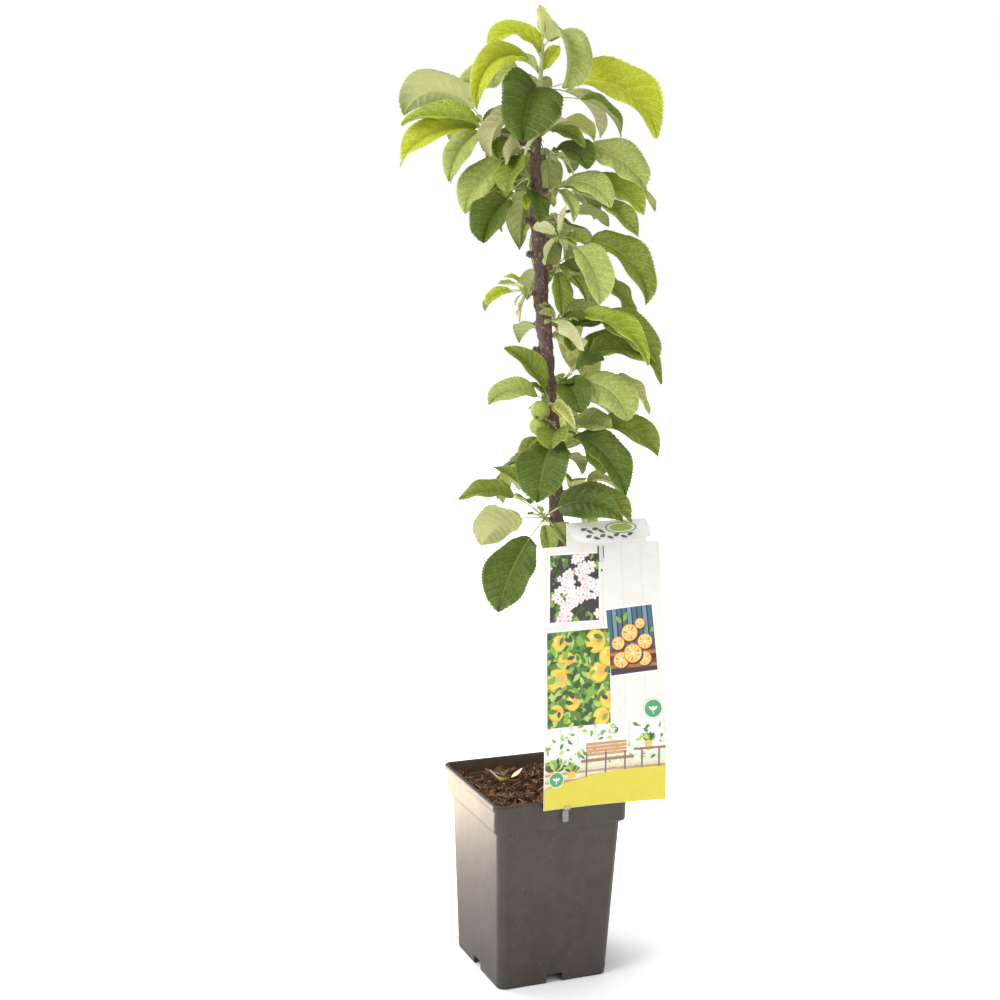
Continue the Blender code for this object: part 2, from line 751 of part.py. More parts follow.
def make_pot():
    """Square pot: tapering walls, a foot band with notches, a step, a band and a lip."""
    step = POT_HEIGHT - POT_BAND_DROP
    lip = POT_HEIGHT - POT_LIP_DEEP
    foot_in = POT_FOOT - FOOT_INSET
    inside = POT_BAND - POT_WALL
    thin = POT_CORNER - POT_WALL
    rings = [
        square_ring(foot_in, POT_FLOOR, thin),
        square_ring(foot_in, 0.0, thin),
        square_ring(POT_FOOT, 0.0),
        square_ring(POT_FOOT + FOOT_LEDGE, POT_FOOT_TALL),
        square_ring(body_half(POT_FOOT_TALL + MM), POT_FOOT_TALL + MM),
        square_ring(POT_BODY, step),
        square_ring(POT_BAND - BAND_ROUND, step),
        square_ring(POT_BAND - 0.4 * BAND_ROUND, step + 1.5 * BAND_ROUND),
        square_ring(POT_BAND, lip - BAND_ROUND),
        square_ring(POT_LIP - 0.3 * LIP_ROUND, lip),
        square_ring(POT_LIP, lip + LIP_ROUND),
        square_ring(POT_LIP, POT_HEIGHT - LIP_ROUND),
        square_ring(POT_LIP - 0.8 * LIP_ROUND, POT_HEIGHT),
        square_ring(inside + 0.6 * LIP_ROUND, POT_HEIGHT, thin),
        square_ring(inside, POT_HEIGHT - 0.8 * LIP_ROUND, thin),
        square_ring(inside - INNER_TAPER, step + POT_WALL + INNER_STEP, thin),
        square_ring(POT_BODY - POT_WALL, step - INNER_STEP, thin),
        square_ring(POT_FOOT - POT_WALL + INNER_STEP, POT_FLOOR + POT_WALL, thin),
    ]
    pot = add_object("pot", *loft(rings), "pot")
    half = 0.5 * NOTCH_WIDE
    far = POT_LIP
    cut(pot, make_tool("notch_tool_y", *box_mesh(-half, half, -far, far, -TOOL_OVERRUN, NOTCH_TALL)))
    cut(pot, make_tool("notch_tool_x", *box_mesh(-far, far, -half, half, -TOOL_OVERRUN, NOTCH_TALL)))
    for k, (sx, sy) in enumerate(((0, 0), (1, 1), (-1, 1), (-1, -1), (1, -1))):
        hole = []
        for z in (POT_FLOOR - TOOL_OVERRUN, POT_FLOOR + TOOL_OVERRUN):
            ring = []
            for s in range(DRAIN_SIDES):
                a = math.tau * s / DRAIN_SIDES
                ring.append(Vector((sx * DRAIN_OUT + DRAIN_RADIUS * math.cos(a),
                                    sy * DRAIN_OUT + DRAIN_RADIUS * math.sin(a), z)))
            hole.append(ring)
        cut(pot, make_tool(f"drain_tool_{k}", *loft(hole)))
    return pot


def soil_height(x, y):
    """Height of the soil at a place: a lumpy mound, level under the trunk."""
    share = max(abs(x), abs(y)) / POT_BAND
    mound = SOIL_EDGE + SOIL_MOUND * max(0.0, 1 - share ** 2)
    mound += SOIL_LUMPS * noise(Vector((x, y, 0.3)) * LUMPS_PER_METRE) * (1 - share ** 6)
    foot = from_front(trunk_centre(TRUNK[0][0] * MM))
    off = math.hypot(x - foot.x, y - foot.y)
    level = min(1.0, max(0.0, (off - SOIL_PAD) / (0.8 * SOIL_PAD)))
    return SOIL_LEVEL + (mound - SOIL_LEVEL) * level


def make_soil(skin):
    """Soil that fills the pot, a hair clear of its walls and of the trunk's foot."""
    step = POT_HEIGHT - POT_BAND_DROP
    inside = POT_BAND - POT_WALL
    floor = POT_FLOOR + POT_WALL
    thin = POT_CORNER - POT_WALL
    side = SOIL_SIDE_GAP
    top_half = inside - INNER_TAPER - side
    rings = [
        square_ring(POT_FOOT - POT_WALL - side + INNER_STEP, floor + GAP, thin),
        square_ring(POT_BODY - POT_WALL - side, step - INNER_STEP + GAP, thin),
        square_ring(top_half, step + POT_WALL + INNER_STEP + GAP, thin),
    ]
    outline = square_ring(top_half, SOIL_EDGE, thin)
    for share in SOIL_RINGS:
        ring = []
        for p in outline:
            x, y = p.x * share, p.y * share
            ring.append(Vector((x, y, soil_height(x, y))))
        rings.append(ring)
    rings.append([Vector((0, 0, soil_height(0, 0)))])
    soil = add_object("soil", *loft(rings), "soil")
    cut(soil, skin)
    return soil


def card_point(u, v):
    """Middle of the card's sheet: u from left to right, v from 0 at the foot to 1 at the shoulder,
    2 at the fold and 3 at the flap's free edge."""
    body = min(v, 1.0)
    left = CARD_LEFT[0] + (CARD_LEFT[1] - CARD_LEFT[0]) * body
    right = CARD_RIGHT[0] + (CARD_RIGHT[1] - CARD_RIGHT[0]) * body
    x = (left + (right - left) * u) * MM
    z = CARD_FOOT + (CARD_SHOULDER - CARD_FOOT) * body
    z += (CARD_TOP - CARD_SHOULDER) * min(max(v - 1, 0.0), 1.0)
    high = max(0.0, (z - CARD_BEND_FROM) / (CARD_TOP - CARD_BEND_FROM))
    lean = CARD_LEAN * high ** 1.5 + CARD_TWIST * high ** 2 * (u - 0.2)
    y = -CARD_BACK + lean - CARD_CURL * (2 * u - 0.36) ** 2 * (1 - 0.5 * high)
    if v > 2:
        reach = (v - 2) * FLAP_LONG
        y -= reach * math.cos(FLAP_DROP)
        z -= reach * math.sin(FLAP_DROP)
        x += (0.5 - u) * FLAP_SLANT * (v - 2) ** 3
    return Vector((x, y, z))


def card_columns():
    """Shares across the card, with one column at each side of its narrower neck."""
    wide = CARD_RIGHT[1] - CARD_LEFT[1]
    neck = [(edge - CARD_LEFT[1]) / wide for edge in CARD_NECK]
    return [0.0, neck[0], *CARD_COLUMNS, neck[1], 1.0]


def make_card():
    """Printed card: one thin bent sheet with a narrower neck, and a flap folded to the front."""
    columns = card_columns()
    cells = []
    for j in range(len(CARD_ROWS) - 1):
        for i in range(len(columns) - 1):
            in_neck = 0 < i < len(columns) - 2
            if CARD_ROWS[j] < 1 or in_neck:
                cells.append((i, j))
    points = []
    index = {}
    for side in (-0.5, 0.5):
        for j, v in enumerate(CARD_ROWS):
            for i, u in enumerate(columns):
                here = card_point(u, v)
                flow = card_point(u, v + 0.01) - card_point(u, v - 0.01)
                run = card_point(u + 0.01, v) - card_point(u - 0.01, v)
                index[side, i, j] = len(points)
                points.append(here + side * CARD_THICK * run.cross(flow).normalized())
    faces = []
    for i, j in cells:
        ring = ((i, j), (i + 1, j), (i + 1, j + 1), (i, j + 1))
        faces.append(tuple(index[0.5, a, b] for a, b in ring))
        faces.append(tuple(index[-0.5, a, b] for a, b in reversed(ring)))
        for near, (a, b) in zip(((i, j - 1), (i + 1, j), (i, j + 1), (i - 1, j)),
                                ((0, 1), (1, 2), (2, 3), (3, 0))):
            if near not in cells:
                p, q = ring[a], ring[b]
                faces.append((index[0.5, p[0], p[1]], index[-0.5, p[0], p[1]],
                              index[-0.5, q[0], q[1]], index[0.5, q[0], q[1]]))
    used = sorted({k for face in faces for k in face})
    where = {k: n for n, k in enumerate(used)}
    faces = [tuple(where[k] for k in face) for face in faces]
    return add_object("label_card", [points[k] for k in used], faces, "card")


def make_strip():
    """Clear strip: it hooks over the pot's lip, stands behind the card and holds its foot in a crook."""
    lip = POT_LIP / MM
    inner = (POT_BAND - POT_WALL) / MM
    top = POT_HEIGHT / MM
    foot = CARD_FOOT / MM
    back = lip + STRIP_CLEAR
    front = back + STRIP_THICK
    hook = inner - STRIP_CLEAR
    over = top + STRIP_CLEAR
    crook = (CARD_BACK + 0.5 * CARD_THICK + 0.1 * CARD_CURL) / MM + CROOK_THICK
    shelf = foot - STRIP_CLEAR
    outline = (
        (back, foot - STRIP_BELOW), (back, over), (hook, over), (hook, top - HOOK_DEEP),
        (hook - STRIP_THICK, top - HOOK_DEEP), (hook - STRIP_THICK, over + STRIP_THICK),
        (back, over + STRIP_THICK), (back, top + STRIP_ABOVE), (front, top + STRIP_ABOVE), (front, shelf),
        (crook, shelf), (crook, foot + CROOK_TALL), (crook + CROOK_THICK, foot + CROOK_TALL),
        (crook + CROOK_THICK, foot - CROOK_FLOOR), (front, foot - CROOK_FLOOR), (front, foot - STRIP_BELOW),
    )
    rings = []
    for x in (-0.5 * STRIP_WIDE, 0.5 * STRIP_WIDE):
        rings.append([Vector((x, -y * MM, z * MM)) for y, z in outline])
    return add_object("label_holder", *loft(rings), "strip")


def make_tree(thicket, skin):
    """Trunk, spurs, left bough and every leaf mass; the skin is the trunk made a gap fatter."""
    add_object("trunk", *loft(trunk_rings()), "bark")
    thicket.add_solid(*loft(trunk_rings(inflate=CLEARANCE)))
    stems = {}
    woody_tip = TRUNK[-1][0] * MM
    shoot_foot = trunk_centre(woody_tip) + Vector((0, 0, GAP))
    shoot_tip = Vector(SHOOT_END) * MM
    shoot = tube(shoot_foot, shoot_tip, SHOOT_THICK, SHOOT_TIP, STEM_SIDES, SHOOT_STEPS)
    stems["leader"] = (shoot_foot, shoot_tip, shoot)
    for cluster in CLUSTERS:
        root, tip, stem, end = cluster_axis(cluster)
        long_limb = cluster.reach > BOUGH_REACH
        steps = BOUGH_STEPS if long_limb else SPUR_STEPS
        sag = BOUGH_SAG if long_limb else SPUR_SAG
        name = cluster.name if long_limb else f"spur_{cluster.name}"
        rings = tube(root, tip, SPUR_THICK, SPUR_TIP, SPUR_SIDES, steps, sag)
        limb = add_object(name, *loft(rings), "bark")
        cut(limb, skin)
        thicket.add_solid(*loft(rings))
        stems[cluster.name] = (stem, end, tube(stem, end, STEM_THICK, STEM_TIP, STEM_SIDES, 1))
    for name, (_, _, rings) in stems.items():
        thicket.add_solid(*loft(rings), owner=name)
    groups = [("leader", LEADER_LEAVES)]
    groups += [(c.name, c.leaves) for c in CLUSTERS]
    for name, leaves in groups:
        start, end, rings = stems[name]
        parts = [loft(rings)]
        for spec in APPLES:
            if spec[0] == name:
                stalk, fruit = apple_parts(spec, start.lerp(end, 0.5))
                thicket.add_solid(*fruit, owner=f"{name}_fruit")
                parts += [stalk, fruit]
        for rank, leaf in enumerate(leaves):
            root = leaf_root(leaf, rank, len(leaves), start, end)
            placed = thicket.place(name, leaf, root)
            if placed is None:
                print("left out: leaf", rank, "of", name)
                continue
            parts.append(leaf_mesh(placed, root))
        join(f"foliage_{name}", parts, "leaf")


def evaluated(item):
    """Points and faces of an object with its modifiers."""
    sight = bpy.context.evaluated_depsgraph_get()
    mesh = item.evaluated_get(sight).to_mesh()
    return [v.co.copy() for v in mesh.vertices], [tuple(p.vertices) for p in mesh.polygons]


def main():
    """Builds every part of the potted tree."""
    for item in list(bpy.data.objects):
        bpy.data.objects.remove(item)
    thicket = Thicket()
    skin = make_tool("trunk_skin_tool", *loft(trunk_rings(inflate=GAP, overrun=GAP)))
    for item in (make_pot(), make_soil(skin), make_card(), make_strip()):
        thicket.add_solid(*evaluated(item))
    make_tree(thicket, skin)


main()
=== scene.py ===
"""Looks of a dwarf columnar apple tree in a square nursery pot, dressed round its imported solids.

Metres, +Z up. The tree has a front of its own, turned from the pot's: in that front frame X runs to the
right, Y away from the viewer, and a turn of 0 degrees points right, 90 away, 270 to the viewer. Sizes in
the tables are in millimetres.
"""

import logging
import random
from collections.abc import Callable
from dataclasses import dataclass, replace
from enum import Enum
from math import copysign, cos, dist, exp, hypot, pi, radians, sin, tau

import bmesh
import bpy
import numpy as np
from mathutils import Matrix, Quaternion, Vector
from mathutils.bvhtree import BVHTree
from mathutils.noise import noise


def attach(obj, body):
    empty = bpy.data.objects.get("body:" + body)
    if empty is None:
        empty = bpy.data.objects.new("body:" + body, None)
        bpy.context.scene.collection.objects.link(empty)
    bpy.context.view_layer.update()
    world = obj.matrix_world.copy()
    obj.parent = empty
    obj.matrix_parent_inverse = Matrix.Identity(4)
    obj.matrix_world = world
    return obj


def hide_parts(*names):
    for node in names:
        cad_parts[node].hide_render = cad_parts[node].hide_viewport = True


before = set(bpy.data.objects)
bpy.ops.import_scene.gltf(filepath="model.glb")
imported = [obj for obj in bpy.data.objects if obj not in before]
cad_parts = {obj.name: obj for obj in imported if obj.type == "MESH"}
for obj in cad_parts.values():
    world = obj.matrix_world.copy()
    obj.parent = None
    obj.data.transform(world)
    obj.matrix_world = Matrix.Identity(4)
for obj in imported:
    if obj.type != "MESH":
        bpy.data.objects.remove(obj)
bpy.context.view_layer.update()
LOG = logging.getLogger("apple_tree")

Triple = tuple[float, float, float]
Material = bpy.types.Material
Socket = bpy.types.NodeSocket
Skin = tuple[list, list]

MM = 0.001
GAP = 0.3 * MM
FRONT_TURN = radians(-22.7)
FRONT = Matrix.Rotation(FRONT_TURN, 3, "Z")


class Tint(Enum):
    """Leaf colours that have a place on the tree."""

    # Young leaves: their own yellow-green, lightened with a painted glow of backlight
    YOUNG = "young"
    FRESH = "fresh"
    PALE = "pale"
    SILVER = "silver"
    MID = "mid"
    DARK = "dark"


@dataclass(frozen=True)
class Leaf:
    """One leaf: where it points in the front frame, its sizes in millimetres and degrees, and its tint."""

    turn: float
    rise: float
    stalk: float
    blade: float
    wide: float
    drop: float
    roll: float = 0.0
    fold: float = 25.0
    at: float = -1.0
    tint: Tint = Tint.MID


@dataclass(frozen=True)
class Cluster:
    """A spur or bough on the trunk, with the leaves that spring from the stem at its end."""

    name: str
    height: float
    turn: float
    reach: float
    climb: float
    leaves: tuple[Leaf, ...]


WILD_TINTS = (Tint.MID, Tint.DARK, Tint.MID, Tint.SILVER, Tint.YOUNG, Tint.MID, Tint.DARK)


def wild_leaves(seed: int, turn: float, count: int, spread: float = 62.0,
                longest: float = 78.0) -> tuple[Leaf, ...]:
    """Leaves that fan out round a turn by a seeded rule.

    Args:
        seed: Seed of the random draws.
        turn: Middle of the fan, in degrees.
        count: Number of leaves.
        spread: Half of the fan, in degrees.
        longest: Longest blade, in millimetres.

    Returns:
        The leaves, in the order in which they spring from the stem.
    """
    draw = random.Random(seed)
    leaves = []
    for k in range(count):
        share = (k + 0.5) / count - 0.5
        blade = draw.uniform(0.7, 1.0) * longest
        leaves.append(Leaf(
            turn=turn + 2 * spread * share + draw.uniform(-7, 7),
            rise=draw.uniform(-6, 34) - 18 * (k % 2),
            stalk=draw.uniform(18, 30),
            blade=blade,
            wide=blade * draw.uniform(0.44, 0.52),
            drop=draw.uniform(50, 95),
            roll=draw.uniform(-22, 22),
            fold=draw.uniform(16, 34),
            tint=WILD_TINTS[(seed + 3 * k) % len(WILD_TINTS)],
        ))
    return tuple(leaves)


def leaf_rows(*table: tuple) -> tuple[Leaf, ...]:
    """Leaves of a table, each row with the sizes in their order and the tint last."""
    return tuple(Leaf(*sizes, tint=tint) for *sizes, tint in table)


Y, F, P, S, M, D = Tint.YOUNG, Tint.FRESH, Tint.PALE, Tint.SILVER, Tint.MID, Tint.DARK

# The young shoot that ends the trunk carries its leaves one above another
LEADER_LEAVES = leaf_rows(
    (230, 86, 4, 33, 18, 18, 0, 20, 1.0, Y), (296, 32, 12, 92, 50, 192, -12, 34, 0.95, S),
    (185, 78, 8, 68, 30, 170, -38, 28, 0.78, Y), (30, 63, 6, 30, 17, 20, 50, 25, 0.62, Y),
    (140, 50, 4, 30, 22, 50, 30, 30, 0.6, M), (225, 28, 20, 102, 34, 135, -45, 38, 0.66, Y),
    (176, 32, 22, 66, 42, 118, -55, 20, 0.52, S), (254, -12, 10, 80, 72, 78, -32, 30, 0.5, D),
    (346, 21, 28, 116, 54, 104, 46, 24, 0.42, Y), (34, 8, 30, 68, 32, 95, 0, 32, 0.44, P),
    (25, 18, 42, 60, 28, 95, 30, 28, 0.28, M), (215, 2, 26, 58, 36, 108, 68, 28, 0.2, P),
    (95, 24, 24, 82, 40, 95, 10, 24, 0.46, M), (128, 4, 26, 76, 38, 80, -12, 26, 0.24, D),
)

CLUSTERS = (
    Cluster("left_bough", 842, 180, 55, 17, leaf_rows(
        (152, 74, 22, 86, 50, 136, 40, 20, S), (176, 28, 6, 80, 34, 52, -42, 35, F),
        (170, 6, 8, 94, 38, 78, -52, 30, Y), (226, -24, 10, 64, 32, 60, -38, 34, S),
        (204, -38, 8, 58, 28, 50, -32, 34, M), (305, -25, 8, 33, 20, 60, 20, 20, M),
        (102, 14, 18, 64, 34, 62, 0, 25, M), (62, -8, 14, 52, 28, 60, 10, 25, D),
    )),
    Cluster("top_front", 853, 314, 16, 12, leaf_rows(
        (240, -16, 8, 39, 17, 40, 58, 42, P), (332, 37, 5, 22, 10, 40, -40, 38, P),
        (325, 0, 5, 44, 21, 50, 45, 34, M),
    )),
    Cluster("top_left", 834, 209, 17, 12, leaf_rows(
        (200, -22, 24, 66, 36, 60, -48, 24, S), (250, -34, 8, 52, 38, 40, 20, 20, M),
        (222, -5, 8, 37, 30, 78, 72, 20, P), (220, -32, 10, 45, 34, 58, -22, 15, M),
        (158, -14, 20, 60, 32, 62, 0, 25, D),
    )),
    Cluster("right_1", 829, 345, 17, 14, leaf_rows(
        (320, 30, 11, 48, 33, 112, 35, 20, D), (350, 18, 36, 72, 44, 88, 50, 24, S),
        (18, 8, 42, 76, 38, 68, 38, 28, M), (38, 4, 54, 104, 46, 60, 34, 24, M),
        (62, 8, 14, 46, 30, 60, 20, 25, D),
    )),
    Cluster("right_2", 797, 353, 18, 12, leaf_rows(
        (330, 26, 18, 60, 31, 100, 46, 24, S), (355, 20, 40, 64, 33, 85, 46, 28, F),
        (340, 3, 50, 54, 26, 58, 40, 28, M), (308, -12, 8, 42, 19, 78, 10, 38, S),
        (58, 10, 26, 70, 36, 72, 0, 25, M),
    )),
    Cluster("left_2", 798, 228, 17, 12, leaf_rows(
        (182, -2, 14, 42, 28, 70, -40, 24, M), (226, -18, 28, 55, 46, 60, -24, 36, D),
        (290, -17, 6, 46, 28, 60, -18, 20, D), (142, -4, 20, 56, 30, 62, 0, 25, M),
    )),
    Cluster("right_3", 749, 339, 22, 14, leaf_rows(
        (345, 5, 34, 92, 44, 98, 42, 30, M), (315, -8, 30, 70, 36, 88, 20, 24, S),
        (322, 12, 10, 30, 17, 58, 30, 30, M), (240, -24, 6, 31, 20, 60, 58, 20, P),
        (200, 42, 5, 25, 14, 60, 58, 20, P), (300, 74, 4, 32, 9, 16, 0, 38, P),
    )),
    Cluster("right_4", 723, 342, 19, 14, leaf_rows(
        (10, -3, 48, 56, 34, 80, 40, 24, M), (330, -22, 20, 34, 13, 60, 30, 38, M),
        (290, -48, 8, 45, 23, 58, 0, 24, M), (312, 10, 6, 28, 19, 50, 30, 20, D),
        (32, -6, 34, 32, 19, 60, 38, 24, M),
    )),
    Cluster("left_3", 697, 201, 18, 14, leaf_rows(
        (200, 12, 20, 31, 16, 70, -40, 30, Y), (188, 32, 14, 19, 10, 50, -30, 30, S),
        (240, -42, 5, 29, 19, 60, 60, 20, P), (150, 0, 16, 40, 22, 60, 0, 25, M),
    )),
    Cluster("front_5", 670, 313, 19, 14, leaf_rows(
        (335, 14, 27, 92, 34, 88, 38, 38, F), (0, 11, 42, 76, 42, 80, 48, 24, M),
        (300, 8, 14, 52, 40, 84, 150, 20, P), (350, 32, 10, 31, 25, 88, 40, 16, S),
        (302, 5, 6, 31, 19, 30, 20, 20, D), (232, 34, 5, 25, 15, 42, 30, 20, D),
        (312, -24, 20, 21, 15, 60, 20, 20, D),
    )),
    Cluster("right_6", 606, 318, 19, 14, leaf_rows(
        (350, 58, 40, 94, 40, 144, 44, 24, M), (20, 58, 30, 58, 36, 72, 46, 24, M),
        (328, 18, 26, 67, 42, 98, 38, 20, S), (22, 17, 56, 58, 32, 88, 38, 20, P),
        (308, 10, 8, 51, 36, 88, 20, 20, D), (344, 56, 20, 33, 23, 60, 40, 20, D),
        (280, 30, 5, 23, 17, 60, 0, 20, D),
    )),
    Cluster("front_6", 588, 266, 18, 12, leaf_rows(
        (185, 70, 15, 60, 28, 52, -55, 34, M), (195, 35, 15, 55, 30, 90, -42, 28, S),
        (300, 10, 12, 54, 17, 70, 58, 42, P),
    )),
    Cluster("front_7", 560, 292, 19, 14, leaf_rows(
        (255, -13, 25, 78, 54, 60, 0, 14, D), (313, 0, 22, 94, 44, 74, 18, 28, D),
        (350, 24, 44, 70, 34, 90, 48, 24, M), (340, 23, 14, 46, 28, 60, 40, 20, S),
        (260, 12, 12, 46, 34, 62, 10, 20, M), (210, 14, 26, 26, 19, 80, -38, 20, M),
        (342, -16, 28, 37, 28, 60, 40, 20, M),
    )),
    Cluster("left_8", 471, 229, 25, 14, leaf_rows(
        (234, -32, 29, 86, 52, 40, -12, 14, D), (180, 42, 37, 58, 26, 78, -38, 30, M),
        (152, -2, 26, 58, 46, 62, 50, 20, S), (345, 42, 20, 84, 40, 102, 28, 20, M),
        (316, 36, 22, 90, 38, 74, 66, 20, D), (166, 66, 38, 37, 15, 60, -38, 30, M),
        (310, -12, 14, 38, 30, 60, 0, 30, S), (285, -30, 10, 30, 21, 66, 0, 28, S),
        (120, 28, 28, 27, 21, 42, 28, 20, M),
    )),
    Cluster("rear_1", 846, 78, 17, 16, wild_leaves(11, 96, 6)),
    Cluster("rear_2", 808, 112, 18, 14, wild_leaves(12, 112, 5, spread=36)),
    Cluster("rear_3", 766, 70, 19, 14, wild_leaves(13, 62, 5, spread=36)),
    Cluster("rear_4", 714, 58, 18, 14, wild_leaves(14, 56, 5, spread=36)),
    Cluster("rear_5", 652, 64, 19, 14, wild_leaves(15, 60, 5, spread=38)),
    Cluster("rear_6", 586, 64, 18, 14, wild_leaves(16, 62, 5, spread=42)),
    Cluster("rear_7", 528, 102, 18, 14, wild_leaves(17, 92, 6)),
    Cluster("rear_8", 497, 34, 19, 12, wild_leaves(18, 42, 5, spread=48, longest=70)),
)


def from_front(point: Vector) -> Vector:
    """A point or direction of the front frame, in the pot's frame."""
    return FRONT @ Vector(point)


def heading(turn: float, rise: float) -> Vector:
    """Unit direction in the front frame for a turn and a rise in degrees."""
    a, e = radians(turn), radians(rise)
    return Vector((cos(a) * cos(e), sin(a) * cos(e), sin(e)))


def level_way(a: float) -> Vector:
    """Level unit direction at an angle in radians."""
    return Vector((cos(a), sin(a), 0))


def smooth_step(low: float, high: float, value: float) -> float:
    """Share from 0 to 1 of the way from low to high, eased at both ends."""
    t = min(max((value - low) / (high - low), 0.0), 1.0)
    return t * t * (3 - 2 * t)


def loft(rings: list[list[Vector]]) -> tuple[list[Vector], list[tuple[int, ...]]]:
    """Skin through rings of equal count.

    Args:
        rings: Rings of points; a ring of one point closes to a tip.

    Returns:
        Points and faces, with flat ends where an end ring has several points.
    """
    points = []
    starts = []
    for ring in rings:
        starts.append(len(points))
        points.extend(ring)
    faces = []
    for low, high, a, b in zip(rings, rings[1:], starts, starts[1:]):
        count = max(len(low), len(high))
        for k in range(count):
            j = (k + 1) % count
            if len(high) == 1:
                faces.append((a + k, a + j, b))
            elif len(low) == 1:
                faces.append((a, b + j, b + k))
            else:
                faces.append((a + k, a + j, b + j, b + k))
    if len(rings[0]) > 1:
        faces.append(tuple(reversed(range(len(rings[0])))))
    if len(rings[-1]) > 1:
        faces.append(tuple(starts[-1] + k for k in range(len(rings[-1]))))
    return points, faces


class Shape:
    """Points, faces and finishes gathered for one piece."""

    def __init__(self, name: str) -> None:
        """Starts an empty piece of that name.

        Args:
            name: Its name.
        """
        self.name = name
        self.points: list[tuple[float, ...]] = []
        self.faces: list[tuple[int, ...]] = []
        self.marks: list[int] = []
        self.finishes: list[Material] = []

    def mark(self, finish: Material) -> int:
        """Number of a finish on this piece.

        Args:
            finish: The finish.

        Returns:
            Its number.
        """
        if finish not in self.finishes:
            self.finishes.append(finish)
        return self.finishes.index(finish)

    def add(self, points: list, faces: list, finish: Material | list) -> None:
        """Adds a block of points and faces.

        Args:
            points: Places of the block's points.
            faces: Faces by the block's own point numbers.
            finish: One finish for the block, or a list with one for each face.
        """
        start = len(self.points)
        self.points.extend(tuple(p) for p in points)
        self.faces.extend(tuple(start + k for k in face) for face in faces)
        if isinstance(finish, list):
            self.marks.extend(self.mark(one) for one in finish)
        else:
            self.marks.extend([self.mark(finish)] * len(faces))

    def build(self, slot: str, nodes: tuple[str, ...] = (), sharp: float = 60.0,
              tidy: bool = False) -> bpy.types.Object:
        """Makes the object, smooth but for its sharp edges, and hangs it in the frame.

        Args:
            slot: Name of a material slot, which only goes into the log.
            nodes: Solids that the piece stands for.
            sharp: Angle in degrees over which an edge is sharp.
            tidy: True to turn all faces outwards.

        Returns:
            The finished object.
        """
        mesh = bpy.data.meshes.new(self.name)
        mesh.from_pydata(self.points, [], self.faces)
        mesh.polygons.foreach_set("material_index", self.marks)
        for finish in self.finishes:
            mesh.materials.append(finish)
        if tidy:
            work = bmesh.new()
            work.from_mesh(mesh)
            bmesh.ops.recalc_face_normals(work, faces=work.faces)
            work.to_mesh(mesh)
            work.free()
        mesh.shade_smooth()
        mesh.set_sharp_from_angle(angle=radians(sharp))
        piece = new_object(self.name, mesh)
        hang(piece, slot, nodes)
        return piece


def new_object(name: str, data: bpy.types.ID) -> bpy.types.Object:
    """Makes an object of some data and puts it in the scene.

    Args:
        name: Its name.
        data: Its mesh, camera or light.

    Returns:
        The object.
    """
    made = bpy.data.objects.new(name, data)
    bpy.context.scene.collection.objects.link(made)
    return made


def hang(piece: bpy.types.Object, slot: str, nodes: tuple[str, ...] = ()) -> None:
    """Hangs a piece in the frame.

    Args:
        piece: The object, in place.
        slot: Name of a material slot, which only goes into the log.
        nodes: Solids that the piece stands for.
    """
    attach(piece, "root")
    if nodes:
        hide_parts(*nodes)
    triangles = sum(len(face.vertices) - 2 for face in piece.data.polygons)
    LOG.info("%s: %d triangles, slot %s, stands for %s", piece.name, triangles, slot, list(nodes) or "none")


def rgba(colour: Triple) -> tuple[float, float, float, float]:
    """An opaque colour."""
    return (*colour, 1.0)


def shade(colour: Triple, factor: float) -> Triple:
    """A colour made darker or lighter by a factor."""
    return tuple(min(1.0, c * factor) for c in colour)


class Wiring:
    """A node tree under construction."""

    def __init__(self, tree: bpy.types.NodeTree) -> None:
        """Starts on a tree."""
        self.tree = tree

    def add(self, kind: str, sockets: dict | None = None, **settings: object) -> bpy.types.Node:
        """Places a shader node and fills or wires its inputs.

        Args:
            kind: Blender's name of the node type, from its third word on.
            sockets: Values, or outputs to wire, by input name or number.
            settings: Properties of the node.

        Returns:
            The node.
        """
        node = self.tree.nodes.new(f"ShaderNode{kind}")
        for name, value in settings.items():
            setattr(node, name, value)
        for name, value in (sockets or {}).items():
            if isinstance(value, Socket):
                self.tree.links.new(value, node.inputs[name])
            else:
                node.inputs[name].default_value = value
        return node

    def maths(self, operation: str, first: object, second: object, kind: str = "Math") -> Socket:
        """One step of arithmetic."""
        return self.add(kind, {0: first, 1: second}, operation=operation).outputs[0]

    def mix(self, share: Socket, low: object, high: object) -> Socket:
        """Blend of two colours by a mask."""
        return self.add("Mix", {"Factor": share, 6: low, 7: high}, data_type="RGBA").outputs[2]


class Effect(Wiring):
    """A shader group that several finishes share; each kind is built once."""

    inputs: dict[str, str] = {}
    outputs: dict[str, str] = {}

    def __init__(self) -> None:
        """Makes the group's sockets and wires it up."""
        super().__init__(bpy.data.node_groups.new(self.title(), "ShaderNodeTree"))
        for way, labels in (("INPUT", self.inputs), ("OUTPUT", self.outputs)):
            for label, kind in labels.items():
                self.tree.interface.new_socket(label, in_out=way, socket_type=f"NodeSocket{kind}")
        self.given = self.tree.nodes.new("NodeGroupInput").outputs
        self.place = self.add("TexCoord").outputs["Object"]
        made = self.tree.nodes.new("NodeGroupOutput").inputs
        for label, output in self.wire().items():
            self.tree.links.new(output, made[label])

    @classmethod
    def title(cls) -> str:
        """The group's name."""
        return cls.__name__.lower()

    @classmethod
    def get(cls) -> bpy.types.NodeTree:
        """The group, built on first use."""
        return bpy.data.node_groups.get(cls.title()) or cls().tree

    def wire(self) -> dict[str, Socket]:
        """What feeds each output."""
        raise NotImplementedError


